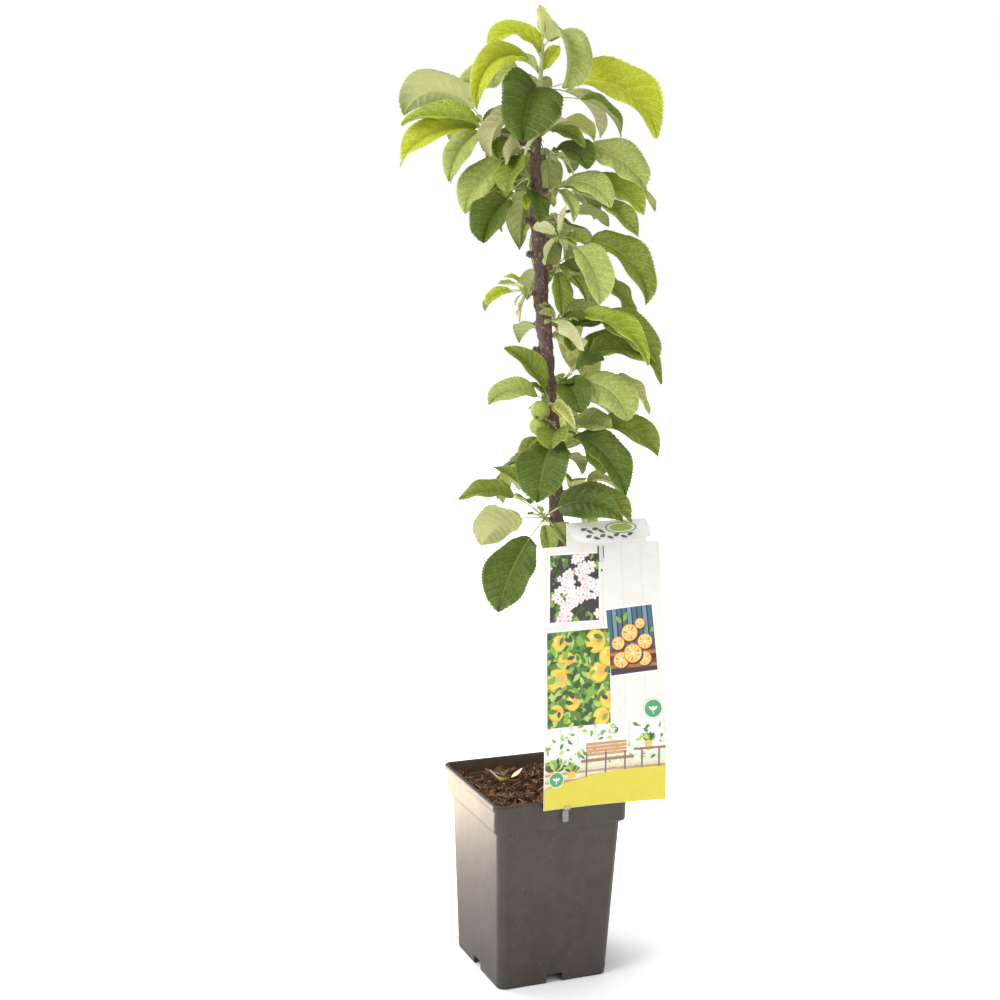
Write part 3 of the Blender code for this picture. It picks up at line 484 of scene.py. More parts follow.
class Mottle(Effect):
    """Soft patches of a second colour, at two scales."""

    inputs = {"Base": "Color", "Patch": "Color", "Scale": "Float", "Amount": "Float"}
    outputs = {"Color": "Color"}

    def wire(self) -> dict[str, Socket]:
        """What feeds each output.

        Returns:
            The output that feeds each socket, by name.
        """
        broad = self.add("TexNoise", {"Vector": self.place, "Scale": self.given["Scale"], "Detail": 3.0,
                                      "Roughness": 0.55})
        finer = self.maths("MULTIPLY", self.given["Scale"], 5.3)
        small = self.add("TexNoise", {"Vector": self.place, "Scale": finer, "Detail": 2.0})
        both = self.maths("ADD", broad.outputs["Fac"], small.outputs["Fac"])
        mask = self.add("MapRange", {"Value": both, "From Min": 0.82, "From Max": 1.2}).outputs[0]
        share = self.maths("MULTIPLY", mask, self.given["Amount"])
        return {"Color": self.mix(share, self.given["Base"], self.given["Patch"])}


class Grain(Effect):
    """Fine stretched grain for relief and gloss."""

    inputs = {"Scale": "Float", "Stretch": "Vector", "Gloss Low": "Float", "Gloss High": "Float"}
    outputs = {"Height": "Float", "Roughness": "Float"}

    def wire(self) -> dict[str, Socket]:
        """What feeds each output.

        Returns:
            The output that feeds each socket, by name.
        """
        drawn = self.maths("MULTIPLY", self.place, self.given["Stretch"], "VectorMath")
        fine = self.add("TexNoise", {"Vector": drawn, "Scale": self.given["Scale"], "Detail": 4.0,
                                     "Roughness": 0.6}).outputs["Fac"]
        gloss = self.add("MapRange", {"Value": fine, "From Min": 0.3, "From Max": 0.7,
                                      "To Min": self.given["Gloss Low"], "To Max": self.given["Gloss High"]})
        return {"Height": fine, "Roughness": gloss.outputs[0]}


class Specks(Effect):
    """Small scattered spots, such as pores, dust or splashes."""

    inputs = {"Scale": "Float", "Size": "Float", "Stretch": "Vector"}
    outputs = {"Mask": "Float"}

    def wire(self) -> dict[str, Socket]:
        """What feeds each output.

        Returns:
            The output that feeds each socket, by name.
        """
        drawn = self.maths("MULTIPLY", self.place, self.given["Stretch"], "VectorMath")
        cells = self.add("TexVoronoi", {"Vector": drawn, "Scale": self.given["Scale"], "Randomness": 1.0})
        near = self.maths("LESS_THAN", cells.outputs["Distance"], self.given["Size"])
        chance = self.add("SeparateColor", {0: cells.outputs["Color"]}).outputs[0]
        return {"Mask": self.maths("MULTIPLY", near, self.maths("GREATER_THAN", chance, 0.55))}


class Network(Effect):
    """Fine net of lines, even over the whole surface."""

    inputs = {"Scale": "Float", "Amount": "Float"}
    outputs = {"Mask": "Float"}

    def wire(self) -> dict[str, Socket]:
        """What feeds each output.

        Returns:
            The output that feeds each socket, by name.
        """
        bend = self.add("TexNoise", {"Vector": self.place, "Scale": 240.0, "Detail": 2.0})
        drift = self.add("VectorMath", {0: bend.outputs["Color"], "Scale": 0.0035},
                         operation="SCALE").outputs[0]
        moved = self.maths("ADD", self.place, drift, "VectorMath")
        cells = self.add("TexVoronoi", {"Vector": moved, "Scale": self.given["Scale"]},
                         feature="DISTANCE_TO_EDGE")
        line = self.add("MapRange", {"Value": cells.outputs["Distance"], "From Min": 0.02, "From Max": 0.22,
                                     "To Min": self.given["Amount"], "To Max": 0.0})
        return {"Mask": line.outputs[0]}


class Paint(Wiring):
    """A material under construction: its shader, and the shared groups placed in it."""

    def __init__(self, name: str) -> None:
        """Starts a material of that name.

        Args:
            name: Its name.
        """
        self.material = bpy.data.materials.new(name)
        self.material.use_nodes = True
        super().__init__(self.material.node_tree)
        self.shader = self.tree.nodes["Principled BSDF"]

    def group(self, effect: type[Effect], **values: object) -> bpy.types.NodeOutputs:
        """Places a shared group.

        Args:
            effect: The kind of group.
            values: Its inputs; an underscore in a name stands for a space.

        Returns:
            Its outputs.
        """
        node = self.add("Group", node_tree=effect.get())
        for name, value in values.items():
            node.inputs[name.replace("_", " ")].default_value = value
        return node.outputs

    def feed(self, socket: str, output: Socket) -> None:
        """Wires an output into the shader."""
        self.tree.links.new(output, self.shader.inputs[socket])

    def fix(self, **values: object) -> None:
        """Sets plain values on the shader; an underscore in a name stands for a space."""
        for name, value in values.items():
            self.shader.inputs[name.replace("_", " ")].default_value = value

    def patches(self, colour: Triple, patch: Triple, scale: float, amount: float = 1.0) -> Socket:
        """A colour with soft patches of a second one."""
        return self.group(Mottle, Base=rgba(colour), Patch=rgba(patch), Scale=scale, Amount=amount)["Color"]

    def spots(self, colour: Socket, spot: Triple, scale: float, size: float, stretch: Triple) -> Socket:
        """A colour with small scattered spots of another."""
        mask = self.group(Specks, Scale=scale, Size=size, Stretch=stretch)["Mask"]
        return self.mix(mask, colour, rgba(spot))

    def surface(self, scale: float, stretch: Triple, gloss: tuple[float, float], depth: float,
                strength: float) -> None:
        """Gives the shader a fine stretched grain, in its gloss and as relief.

        Args:
            scale: Scale of the grain.
            stretch: How much finer it is along each axis.
            gloss: Least and most roughness.
            depth: Depth of the relief, in metres.
            strength: Strength of the relief.
        """
        grain = self.group(Grain, Scale=scale, Stretch=stretch, Gloss_Low=gloss[0], Gloss_High=gloss[1])
        self.feed("Roughness", grain["Roughness"])
        relief = self.add("Bump", {"Height": grain["Height"], "Distance": depth, "Strength": strength})
        self.feed("Normal", relief.outputs[0])


@dataclass(frozen=True)
class Finish:
    """A surface with a second colour in patches."""

    name: str
    colour: Triple
    patch: Triple

    def make(self) -> Material:
        """The material, built on first use.

        Returns:
            The material.
        """
        found = bpy.data.materials.get(self.name)
        if found:
            return found
        paint = Paint(self.name)
        self.dress(paint)
        return paint.material

    def dress(self, paint: Paint) -> None:
        """Wires up the finish in its material."""
        raise NotImplementedError


@dataclass(frozen=True)
class LeafFinish(Finish):
    """Living leaf surface in one plain colour, with a faint mottle under a net of small veins."""

    net: Triple
    rough: tuple[float, float] = (0.46, 0.64)
    specular: float = 0.22

    @classmethod
    def of(cls, tint: Tint) -> tuple["LeafFinish", "LeafFinish", "LeafFinish"]:
        """Finishes of a tint's upper side, under side and veins.

        Args:
            tint: The tint.

        Returns:
            The three finishes.
        """
        upper, patch, under, vein = LEAF_COLOURS[tint]
        name = f"leaf_{tint.value}"
        return (cls(f"{name}_upper", upper, patch, shade(upper, 0.80)),
                cls(f"{name}_under", under, shade(under, 0.84), shade(under, 0.86), (0.62, 0.82), 0.15),
                cls(f"{name}_vein", vein, shade(vein, 0.9), vein))

    def dress(self, paint: Paint) -> None:
        """Wires up the finish in its material.

        Args:
            paint: The material under construction.
        """
        flesh = paint.patches(self.colour, self.patch, scale=46.0, amount=0.9)
        net = paint.group(Network, Scale=300.0, Amount=0.85)["Mask"]
        paint.feed("Base Color", paint.mix(net, flesh, rgba(self.net)))
        paint.surface(900.0, (1, 1, 1), self.rough, depth=0.25 * MM, strength=0.5)
        paint.fix(Specular_IOR_Level=self.specular)


# Upper side, its patches, under side and veins; the young tint is partly the yellow-green of young leaves and
# partly painted glow of light shining through backlit leaves
LEAF_COLOURS = {
    Tint.YOUNG: ((0.340, 0.400, 0.014), (0.440, 0.470, 0.040), (0.480, 0.505, 0.160), (0.440, 0.485, 0.070)),
    Tint.FRESH: ((0.245, 0.315, 0.020), (0.360, 0.405, 0.060), (0.460, 0.480, 0.180), (0.400, 0.450, 0.105)),
    # Pale tint's under side: partly the leaf's own pale down, partly a painted glow of light through backlit
    # leaves
    Tint.PALE: ((0.385, 0.405, 0.118), (0.330, 0.365, 0.085), (0.660, 0.650, 0.360), (0.560, 0.565, 0.240)),
    Tint.SILVER: ((0.285, 0.340, 0.072), (0.390, 0.425, 0.145), (0.460, 0.480, 0.210), (0.400, 0.440, 0.155)),
    Tint.MID: ((0.140, 0.195, 0.016), (0.235, 0.280, 0.050), (0.420, 0.445, 0.175), (0.245, 0.300, 0.062)),
    Tint.DARK: ((0.063, 0.098, 0.008), (0.105, 0.146, 0.018), (0.350, 0.380, 0.130), (0.118, 0.168, 0.026)),
}


@dataclass(frozen=True)
class GreenFinish(Finish):
    """Skin of stalks, shoots, buds and fruit, with pale dots."""

    scale: float = 60.0
    rough: tuple[float, float] = (0.45, 0.65)

    def dress(self, paint: Paint) -> None:
        """Wires up the finish in its material.

        Args:
            paint: The material under construction.
        """
        skin = paint.patches(self.colour, self.patch, self.scale)
        paint.feed("Base Color", paint.spots(skin, shade(self.patch, 1.35), scale=520.0, size=0.22,
                                             stretch=(1, 1, 1)))
        paint.surface(1200.0, (1, 1, 0.4), self.rough, depth=0.2 * MM, strength=0.5)
        paint.fix(Specular_IOR_Level=0.35)


@dataclass(frozen=True)
class BarkFinish(Finish):
    """Young bark: a dark ground with a grey bloom, pale pores and fine creases."""

    pore: Triple

    def dress(self, paint: Paint) -> None:
        """Wires up the finish in its material.

        Args:
            paint: The material under construction.
        """
        bloom = paint.patches(self.colour, self.patch, scale=95.0)
        paint.feed("Base Color", paint.spots(bloom, self.pore, scale=430.0, size=0.36,
                                             stretch=(0.8, 0.8, 1.3)))
        paint.surface(750.0, (1.4, 1.4, 0.6), (0.55, 0.8), depth=0.7 * MM, strength=0.9)
        paint.fix(Specular_IOR_Level=0.1)


@dataclass(frozen=True)
class PlasticFinish(Finish):
    """Moulded nursery plastic: satin skin, a film of dust, splashes and fine upright scuffs."""

    rough: tuple[float, float] = (0.36, 0.47)

    def dress(self, paint: Paint) -> None:
        """Wires up the finish in its material.

        Args:
            paint: The material under construction.
        """
        veil = paint.patches(self.colour, self.patch, scale=16.0, amount=0.22)
        paint.feed("Base Color", paint.spots(veil, shade(self.patch, 1.6), scale=130.0, size=0.075,
                                             stretch=(1, 1, 0.8)))
        paint.surface(160.0, (5, 5, 0.12), self.rough, depth=0.12 * MM, strength=0.25)
        paint.fix(Specular_IOR_Level=0.45)


@dataclass(frozen=True)
class CompostFinish(Finish):
    """Fibrous bark and coco compost, in one of its browns."""

    def dress(self, paint: Paint) -> None:
        """Wires up the finish in its material.

        Args:
            paint: The material under construction.
        """
        paint.feed("Base Color", paint.patches(self.colour, self.patch, scale=160.0))
        paint.surface(600.0, (1, 2, 1.5), (0.7, 0.95), depth=0.8 * MM, strength=0.9)
        paint.fix(Specular_IOR_Level=0.2)


@dataclass(frozen=True)
class InkFinish(Finish):
    """Printed ink or bare coated board."""

    def dress(self, paint: Paint) -> None:
        """Wires up the finish in its material."""
        paint.feed("Base Color", paint.patches(self.colour, self.patch, scale=90.0, amount=0.5))
        paint.surface(1500.0, (1, 1, 1), (0.3, 0.42), depth=0.04 * MM, strength=0.3)


@dataclass(frozen=True)
class ClearFinish:
    """Clear flexible plastic with faint drawn lines."""

    name: str

    def make(self) -> Material:
        """The material.

        Returns:
            The material.
        """
        paint = Paint(self.name)
        paint.surface(300.0, (6, 6, 0.2), (0.05, 0.22), depth=0.1 * MM, strength=0.3)
        paint.fix(Base_Color=(0.9, 0.93, 0.9, 1.0), Transmission_Weight=0.9, IOR=1.46)
        return paint.material


@dataclass(frozen=True)
class TrunkRule:
    """The trunk's taper, lean, root flare and knobs, as in the source."""

    # Height, lean to the right and diameter, from the flat cut at the soil to the woody tip
    stations: tuple[Triple, ...] = (
        (187.3, 20.0, 27.0), (192, 20.2, 21.0), (202, 20.6, 17.6), (225, 21.4, 16.2), (262, 23.0, 17.6),
        (275, 23.2, 16.2), (330, 22.4, 14.8), (400, 19.6, 14.4), (460, 15.8, 14.2), (520, 11.0, 13.8),
        (560, 7.6, 13.4), (600, 3.6, 13.2), (660, -3.0, 12.8), (700, -6.8, 12.6), (740, -10.2, 12.2),
        (790, -14.2, 11.2), (835, -17.0, 9.6), (861, -15.8, 8.4),
    )
    sides: int = 12
    step: float = 13 * MM
    flare_lobes: int = 3
    flare_depth: float = 0.12
    flare_tall: float = 16.0
    flare_phase: float = 0.6
    knob_high: float = 1.5 * MM
    knob_spread: float = 7.0
    dormant_knobs: tuple[tuple[float, float], ...] = (
        (322, 240), (372, 60), (436, 200), (545, 170), (642, 180), (736, 185), (768, 190),
    )
    shoot_tip: Triple = (-12.3 * MM, 0.0, 938 * MM)
    shoot_thick: float = 6.6 * MM
    shoot_thin: float = 3.0 * MM

    @property
    def foot(self) -> float:
        """Height of the flat cut at the soil, in metres."""
        return self.stations[0][0] * MM

    @property
    def top(self) -> float:
        """Height of the woody tip, in metres."""
        return self.stations[-1][0] * MM

    def along(self, z: float) -> list[float]:
        """Smooth lean and diameter at a height, all in millimetres.

        Args:
            z: Height in millimetres.

        Returns:
            Lean and diameter.
        """
        table = self.stations
        rows = len(table)
        k = 0
        while k < rows - 2 and table[k + 1][0] <= z:
            k += 1
        z0, z1 = table[k][0], table[k + 1][0]
        t = min(max((z - z0) / (z1 - z0), 0.0), 1.0)
        values = []
        for column in (1, 2):
            v0, v1 = table[k][column], table[k + 1][column]
            before = table[max(k - 1, 0)]
            after = table[min(k + 2, rows - 1)]
            slope0 = (v1 - before[column]) / (z1 - before[0])
            slope1 = (after[column] - v0) / (after[0] - z0)
            span = z1 - z0
            h = t * t * (3 - 2 * t)
            value = v0 * (1 - h) + v1 * h
            value += span * (slope0 * t * (1 - t) ** 2 - slope1 * t * t * (1 - t))
            values.append(value)
        return values

    def centre(self, z: float) -> Vector:
        """Centre of the trunk at a height in metres, in the front frame."""
        return Vector((self.along(z / MM)[0] * MM, 0.0, z))

    def radius(self, z: float, angle: float) -> float:
        """Radius at a height and an angle, with the root flare and the knobs.

        Args:
            z: Height in metres.
            angle: Angle round the trunk, in radians.

        Returns:
            The radius in metres.
        """
        radius = 0.5 * self.along(z / MM)[1] * MM
        foot = max(0.0, 1 - (z / MM - self.stations[0][0]) / self.flare_tall)
        radius *= 1 + self.flare_depth * foot * cos(self.flare_lobes * angle + self.flare_phase)
        for high, turn in self.knobs():
            off = (z / MM - high) / self.knob_spread
            if abs(off) > 3:
                continue
            facing = max(0.0, cos(angle - radians(turn)))
            radius += self.knob_high * exp(-off * off) * facing ** 2
        return radius

    def knobs(self) -> list[tuple[float, float]]:
        """Height and turn of every knob."""
        return [(c.height, c.turn) for c in CLUSTERS] + list(self.dormant_knobs)

    def levels(self) -> list[float]:
        """Heights of the source's rings.

        Returns:
            The heights in metres.
        """
        levels = [self.foot, self.foot + 0.004, self.foot + 0.010, self.foot + 0.018]
        while levels[-1] + self.step < self.top - 0.5 * self.step:
            levels.append(levels[-1] + self.step)
        levels.append(self.top)
        return levels

    def rings(self, inflate: float = 0.0) -> list[list[Vector]]:
        """The source's rings of the trunk, made fatter on request.

        Args:
            inflate: What the radius grows by.

        Returns:
            The rings, in the pot's frame.
        """
        rings = []
        for z in self.levels():
            ring = []
            for k in range(self.sides):
                a = tau * k / self.sides
                r = self.radius(z, a) + inflate
                ring.append(from_front(self.centre(z) + Vector((r * cos(a), r * sin(a), 0))))
            rings.append(ring)
        return rings


TRUNK = TrunkRule()
FLESH = dict(stalk=GreenFinish("stalk_green", (0.36, 0.44, 0.12), (0.46, 0.50, 0.20)),
             shoot=GreenFinish("shoot_green", (0.30, 0.36, 0.13), (0.40, 0.42, 0.22)),
             bud=GreenFinish("bud_brown", (0.14, 0.085, 0.06), (0.28, 0.20, 0.13)))
BARK = BarkFinish("bark", (0.005, 0.003, 0.0018), (0.037, 0.0235, 0.0165), (0.20, 0.145, 0.102))
SCAR = BarkFinish("bark_scar", (0.120, 0.062, 0.028), (0.230, 0.135, 0.070), (0.05, 0.026, 0.014))
PORE = BarkFinish("bark_pore", (0.200, 0.150, 0.105), (0.320, 0.250, 0.185), (0.09, 0.058, 0.042))


def limb_frame(start: Vector, end: Vector) -> tuple[Vector, Vector]:
    """Two directions across a limb between two points.

    Args:
        start: First end, in the front frame.
        end: Other end, in the front frame.

    Returns:
        Both directions, of unit length.
    """
    axis = (end - start).normalized()
    across = axis.cross(Vector((0, 0, 1)))
    if across.length < 0.1:
        across = Vector((1, 0, 0))
    across.normalize()
    return across, across.cross(axis)


def hoop(centre: Vector, across: Vector, up: Vector, radius: float | Callable[[float], float],
         sides: int) -> list[Vector]:
    """Ring of points round a centre.

    Args:
        centre: Its centre, in the front frame.
        across: Where angle 0 points.
        up: Where a right angle points.
        radius: Its radius, or a function that gives the radius at an angle.
        sides: Number of points.

    Returns:
        The points, in the pot's frame.
    """
    ring = []
    for k in range(sides):
        a = tau * k / sides
        r = radius(a) if callable(radius) else radius
        ring.append(from_front(centre + r * (cos(a) * across + sin(a) * up)))
    return ring


def tube(start: Vector, end: Vector, thick: float, thin: float, sides: int, steps: int,
         sag: float = 0.0) -> list[list[Vector]]:
    """Rings of a tapering limb.

    Args:
        start: First end, in the front frame.
        end: Other end, in the front frame.
        thick: Diameter at the start.
        thin: Diameter at the end.
        sides: Points in a ring.
        steps: Rings less one.
        sag: How far the middle hangs down.

    Returns:
        The rings, in the pot's frame.
    """
    across, up = limb_frame(start, end)
    rings = []
    for s in range(steps + 1):
        t = s / steps
        centre = start.lerp(end, t) - Vector((0, 0, sag * sin(pi * t)))
        rings.append(hoop(centre, across, up, 0.5 * (thick + (thin - thick) * t), sides))
    return rings


@dataclass(frozen=True)
class SpurRule:
    """Sizes of spurs and of the leaf stems that they carry, as in the source."""

    sides: int = 7
    thick: float = 4.4 * MM
    tip: float = 3.4 * MM
    stem_sides: int = 6
    stem_long: float = 5.5 * MM
    stem_thick: float = 3.6 * MM
    stem_tip: float = 2.4 * MM
    long_reach: float = 40.0
    long_sag: float = 3 * MM
    short_sag: float = 0.4 * MM

    def is_long(self, cluster: Cluster) -> bool:
        """True for the one limb that is a bough and not a spur."""
        return cluster.reach > self.long_reach

    def sag(self, cluster: Cluster) -> float:
        """How far a limb's middle hangs down."""
        return self.long_sag if self.is_long(cluster) else self.short_sag

    def axis(self, cluster: Cluster) -> tuple[Vector, Vector, Vector, Vector]:
        """Start on the trunk's axis, the spur's tip, and the stem's two ends, in the front frame.

        Args:
            cluster: The cluster.

        Returns:
            The four places.
        """
        root = TRUNK.centre(cluster.height * MM)
        way = heading(cluster.turn, cluster.climb)
        end = root + way * cluster.reach * MM
        stem = end - way * self.stem_long
        return root, stem - way * GAP, stem, end


SPUR = SpurRule()


@dataclass(frozen=True)
class BladeRule:
    """The source's leaf: a stalk and a blade that bend down along one curve."""

    stalk_thick: float = 1.6 * MM
    rib_thick: float = 1.6 * MM
    stops: tuple[float, ...] = (0.16, 0.40, 0.66, 0.87)
    bend_power: float = 1.4
    curve_steps: int = 48
    clearance: float = 0.35 * MM

    @staticmethod
    def breadth(t: float) -> float:
        """Half-width of a blade at the share t of its length, where 1 is its widest."""
        return sin(pi * t ** 0.82) ** 0.78

    def curve(self, leaf: Leaf, root: Vector) -> tuple[list[Vector], list[Vector], Vector]:
        """Middles and tangents along stalk and blade, and the sideways direction.

        Args:
            leaf: The leaf.
            root: Where its stalk starts, in the front frame.

        Returns:
            The middles, the tangents and the sideways direction.
        """
        total = (leaf.stalk + leaf.blade) * MM
        a = radians(leaf.turn)
        out = level_way(a)
        side = Vector((-sin(a), cos(a), 0))
        point = Vector(root)
        middles = []
        tangents = []
        for k in range(self.curve_steps + 1):
            rise = radians(leaf.rise - leaf.drop * (k / self.curve_steps) ** self.bend_power)
            tangents.append(out * cos(rise) + Vector((0, 0, sin(rise))))
            middles.append(point.copy())
            point = point + tangents[-1] * total / self.curve_steps
        return middles, tangents, side

    def sections(self, leaf: Leaf, root: Vector, spare: float = 0.0,
                 blade_only: bool = False) -> list[list[Vector]]:
        """Chevron sections of a leaf in the front frame, from the stalk's root to the blade's tip.

        Args:
            leaf: The leaf.
            root: Where its stalk starts, in the front frame.
            spare: What it grows by on all sides.
            blade_only: True to leave out the stalk.

        Returns:
            The sections, the last of which is the tip alone.
        """
        middles, tangents, side = self.curve(leaf, root)
        start = leaf.stalk / (leaf.stalk + leaf.blade)
        stops = [0.0, start] + [start + (1 - start) * t for t in self.stops] + [1.0]
        roll = radians(leaf.roll)
        sections = []
        for n, q in enumerate(stops):
            k = min(int(q * self.curve_steps), self.curve_steps - 1)
            share = q * self.curve_steps - k
            centre = middles[k].lerp(middles[k + 1], share)
            tangent = tangents[k].lerp(tangents[k + 1], share).normalized()
            up = tangent.cross(side)
            t = max(0.0, (q - start) / (1 - start))
            left = side * cos(roll) + up * sin(roll)
            top = up * cos(roll) - side * sin(roll)
            if blade_only and n == 0:
                continue
            if n == len(stops) - 1:
                sections.append([centre + tangent * spare])
                continue
            half = 0.5 * self.stalk_thick + spare
            thick = half
            lift = 0.0
            if n >= 2:
                half = 0.5 * leaf.wide * MM * self.breadth(t) + spare
                thick = 0.5 * self.rib_thick * (1 - 0.35 * t) + spare
                lift = radians(leaf.fold)
            arm = left * half * cos(lift)
            raised = top * half * sin(lift)
            sections.append([centre + arm + raised, centre + top * thick, centre - arm + raised,
                             centre - top * thick])
        return sections

    def mesh(self, leaf: Leaf, root: Vector, spare: float = 0.0, blade_only: bool = False) -> tuple:
        """Points in the pot's frame, and faces, of the source's leaf."""
        sections = self.sections(leaf, root, spare, blade_only)
        return loft([[from_front(p) for p in section] for section in sections])


BLADE = BladeRule()

# Turn and rise, in degrees, that a leaf may shift by to keep clear of its neighbours
SHIFTS = (
    (0, 0), (6, 0), (-6, 0), (0, 6), (0, -6), (12, 0), (-12, 0), (8, 8), (-8, 8), (8, -8), (-8, -8),
    (18, 0), (-18, 0), (0, 14), (0, -14), (16, 12), (-16, 12), (16, -12), (-16, -12), (26, 0), (-26, 0),
    (0, 24), (0, -24), (26, 16), (-26, 16), (26, -16), (-26, -16), (36, 8), (-36, 8),
)


def search_tree(points: list, faces: list) -> BVHTree:
    """A search tree over a mesh."""
    return BVHTree.FromPolygons([tuple(p) for p in points], faces)


class Thicket:
    """Keeps what is already placed, and shifts each new leaf until it touches nothing."""

    def __init__(self) -> None:
        """Starts with nothing placed."""
        self.solid: list[tuple[str | None, BVHTree]] = []
        self.leaves: list[tuple[str, BVHTree, BVHTree]] = []

    def add_solid(self, points: list, faces: list, owner: str | None = None) -> None:
        """Adds a limb, pot or card that every leaf of another owner keeps clear of."""
        self.solid.append((owner, search_tree(points, faces)))

    def clear(self, owner: str, whole: BVHTree, blade: BVHTree) -> bool:
        """True when a leaf of this owner touches nothing.

        Args:
            owner: Name of the leaf's cluster.
            whole: The leaf with its clearance.
            blade: Its blade alone, with the clearance.

        Returns:
            Whether it is clear.
        """
        for other, tree in self.solid:
            if other != owner and whole.overlap(tree):
                return False
        for other, full, flat in self.leaves:
            if other != owner:
                if whole.overlap(full):
                    return False
            elif blade.overlap(full) or whole.overlap(flat):
                return False
        return True

    def place(self, owner: str, leaf: Leaf, root: Vector) -> Leaf | None:
        """The leaf itself, or a shifted one that is clear, or None.

        Args:
            owner: Name of the leaf's cluster.
            leaf: The leaf.
            root: Where its stalk starts, in the front frame.

        Returns:
            The leaf as placed, or None.
        """
        for turn, rise in SHIFTS:
            moved = replace(leaf, turn=leaf.turn + turn, rise=leaf.rise + rise)
            whole = search_tree(*BLADE.mesh(moved, root, BLADE.clearance))
            blade = search_tree(*BLADE.mesh(moved, root, BLADE.clearance, blade_only=True))
            if self.clear(owner, whole, blade):
                full = search_tree(*BLADE.mesh(moved, root))
                flat = search_tree(*BLADE.mesh(moved, root, blade_only=True))
                self.leaves.append((owner, full, flat))
                return moved
        return None


@dataclass(frozen=True)
class Apple:
    """A young apple: its cluster, where its stalk points, the stalk's length and the fruit's radius."""

    cluster: str
    turn: float
    rise: float
    stalk: float
    radius: float

    def places(self, root: Vector) -> tuple[Vector, Vector]:
        """Middle of the fruit and the way from its stalk to its eye, in the front frame.

        Args:
            root: Foot of the stalk, in the front frame.

        Returns:
            The middle and the way.
        """
        way = heading(self.turn, self.rise)
        neck = root + way * self.stalk * MM
        down = (way + Vector((0, 0, -1.2))).normalized()
        return neck + down * self.radius * MM * 0.86, down


APPLES = (Apple("front_6", 236, 5, 12, 9.6), Apple("front_6", 220, -50, 17, 9.8))


@dataclass
class Growth:
    """Where everything grows: the stems, and each leaf at its clear place."""

    stems: dict[str, tuple[Vector, Vector]]
    leaves: list[tuple[str, Leaf, Vector]]

    @staticmethod
    def root_of(leaf: Leaf, rank: int, count: int, start: Vector, end: Vector) -> Vector:
        """Where a leaf's stalk is sunk into its stem."""
        share = leaf.at if leaf.at >= 0 else 0.25 + 0.6 * (rank + 0.5) / count
        return start.lerp(end, share)

    @classmethod
    def grow(cls) -> "Growth":
        """Places every leaf by the source's rule, in the source's order.

        Returns:
            The stems by cluster name, and the leaves with their roots.
        """
        thicket = Thicket()
        for name in ("pot", "soil", "label_card", "label_holder"):
            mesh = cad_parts[name].data
            thicket.add_solid([v.co for v in mesh.vertices], [tuple(p.vertices) for p in mesh.polygons])
        thicket.add_solid(*loft(TRUNK.rings(inflate=BLADE.clearance)))
        foot = TRUNK.centre(TRUNK.top) + Vector((0, 0, GAP))
        tip = Vector(TRUNK.shoot_tip)
        stems = {"leader": (foot, tip)}
        rings = {"leader": tube(foot, tip, TRUNK.shoot_thick, TRUNK.shoot_thin, SPUR.stem_sides, 4)}
        for cluster in CLUSTERS:
            root, spur_tip, stem, end = SPUR.axis(cluster)
            steps = 6 if SPUR.is_long(cluster) else 3
            limb = tube(root, spur_tip, SPUR.thick, SPUR.tip, SPUR.sides, steps, SPUR.sag(cluster))
            thicket.add_solid(*loft(limb))
            stems[cluster.name] = (stem, end)
            rings[cluster.name] = tube(stem, end, SPUR.stem_thick, SPUR.stem_tip, SPUR.stem_sides, 1)
        for name, shape in rings.items():
            thicket.add_solid(*loft(shape), owner=name)
        leaves = []
        for name, table in [("leader", LEADER_LEAVES)] + [(c.name, c.leaves) for c in CLUSTERS]:
            start, end = stems[name]
            for apple in APPLES:
                if apple.cluster == name:
                    middle, _ = apple.places(start.lerp(end, 0.5))
                    ball = cls.ball(middle, apple.radius * MM)
                    thicket.add_solid(*ball, owner=f"{name}_fruit")
            for rank, leaf in enumerate(table):
                root = cls.root_of(leaf, rank, len(table), start, end)
                placed = thicket.place(name, leaf, root)
                if placed is not None:
                    leaves.append((name, placed, root))
        cls.add_small(thicket, stems, leaves)
        return cls(stems, leaves)

    @staticmethod
    def ball(middle: Vector, radius: float) -> Skin:
        """A plain ball that holds a fruit's place while leaves are placed.

        Args:
            middle: Its middle, in the front frame.
            radius: Its radius.

        Returns:
            Points and faces.
        """
        rings = [[from_front(middle + Vector((0, 0, -radius)))]]
        for r in range(1, 6):
            a = pi * r / 6
            rings.append([
                from_front(middle + radius * Vector((sin(a) * cos(b), sin(a) * sin(b),
                                                     -cos(a))))
                for b in (tau * k / 10 for k in range(10))
            ])
        rings.append([from_front(middle + Vector((0, 0, radius)))])
        return loft(rings)

    @staticmethod
    def add_small(thicket: Thicket, stems: dict, leaves: list) -> None:
        """Adds the small leaves that crowd each stem's foot, by a seeded rule.

        Args:
            thicket: What is already placed.
            stems: Both ends of each stem.
            leaves: The leaves so far, which it adds to.
        """
        draw = random.Random(77)
        turns = {c.name: c.turn for c in CLUSTERS}
        for name, (start, end) in stems.items():
            for _ in range(SMALL_LEAVES):
                blade = draw.uniform(11, 24)
                leaf = Leaf(
                    turn=turns.get(name, 270) + draw.uniform(-85, 85), rise=draw.uniform(-30, 60),
                    stalk=draw.uniform(5, 13), blade=blade, wide=blade * draw.uniform(0.42, 0.56),
                    drop=draw.uniform(20, 80), roll=draw.uniform(-30, 30), fold=draw.uniform(14, 32),
                    tint=draw.choice((Tint.YOUNG, Tint.PALE, Tint.MID, Tint.SILVER)),
                )
                root = start.lerp(end, draw.uniform(0.15, 0.7))
                placed = thicket.place(name, leaf, root)
                if placed is not None:
                    leaves.append((name, placed, root))


SMALL_LEAVES = 3


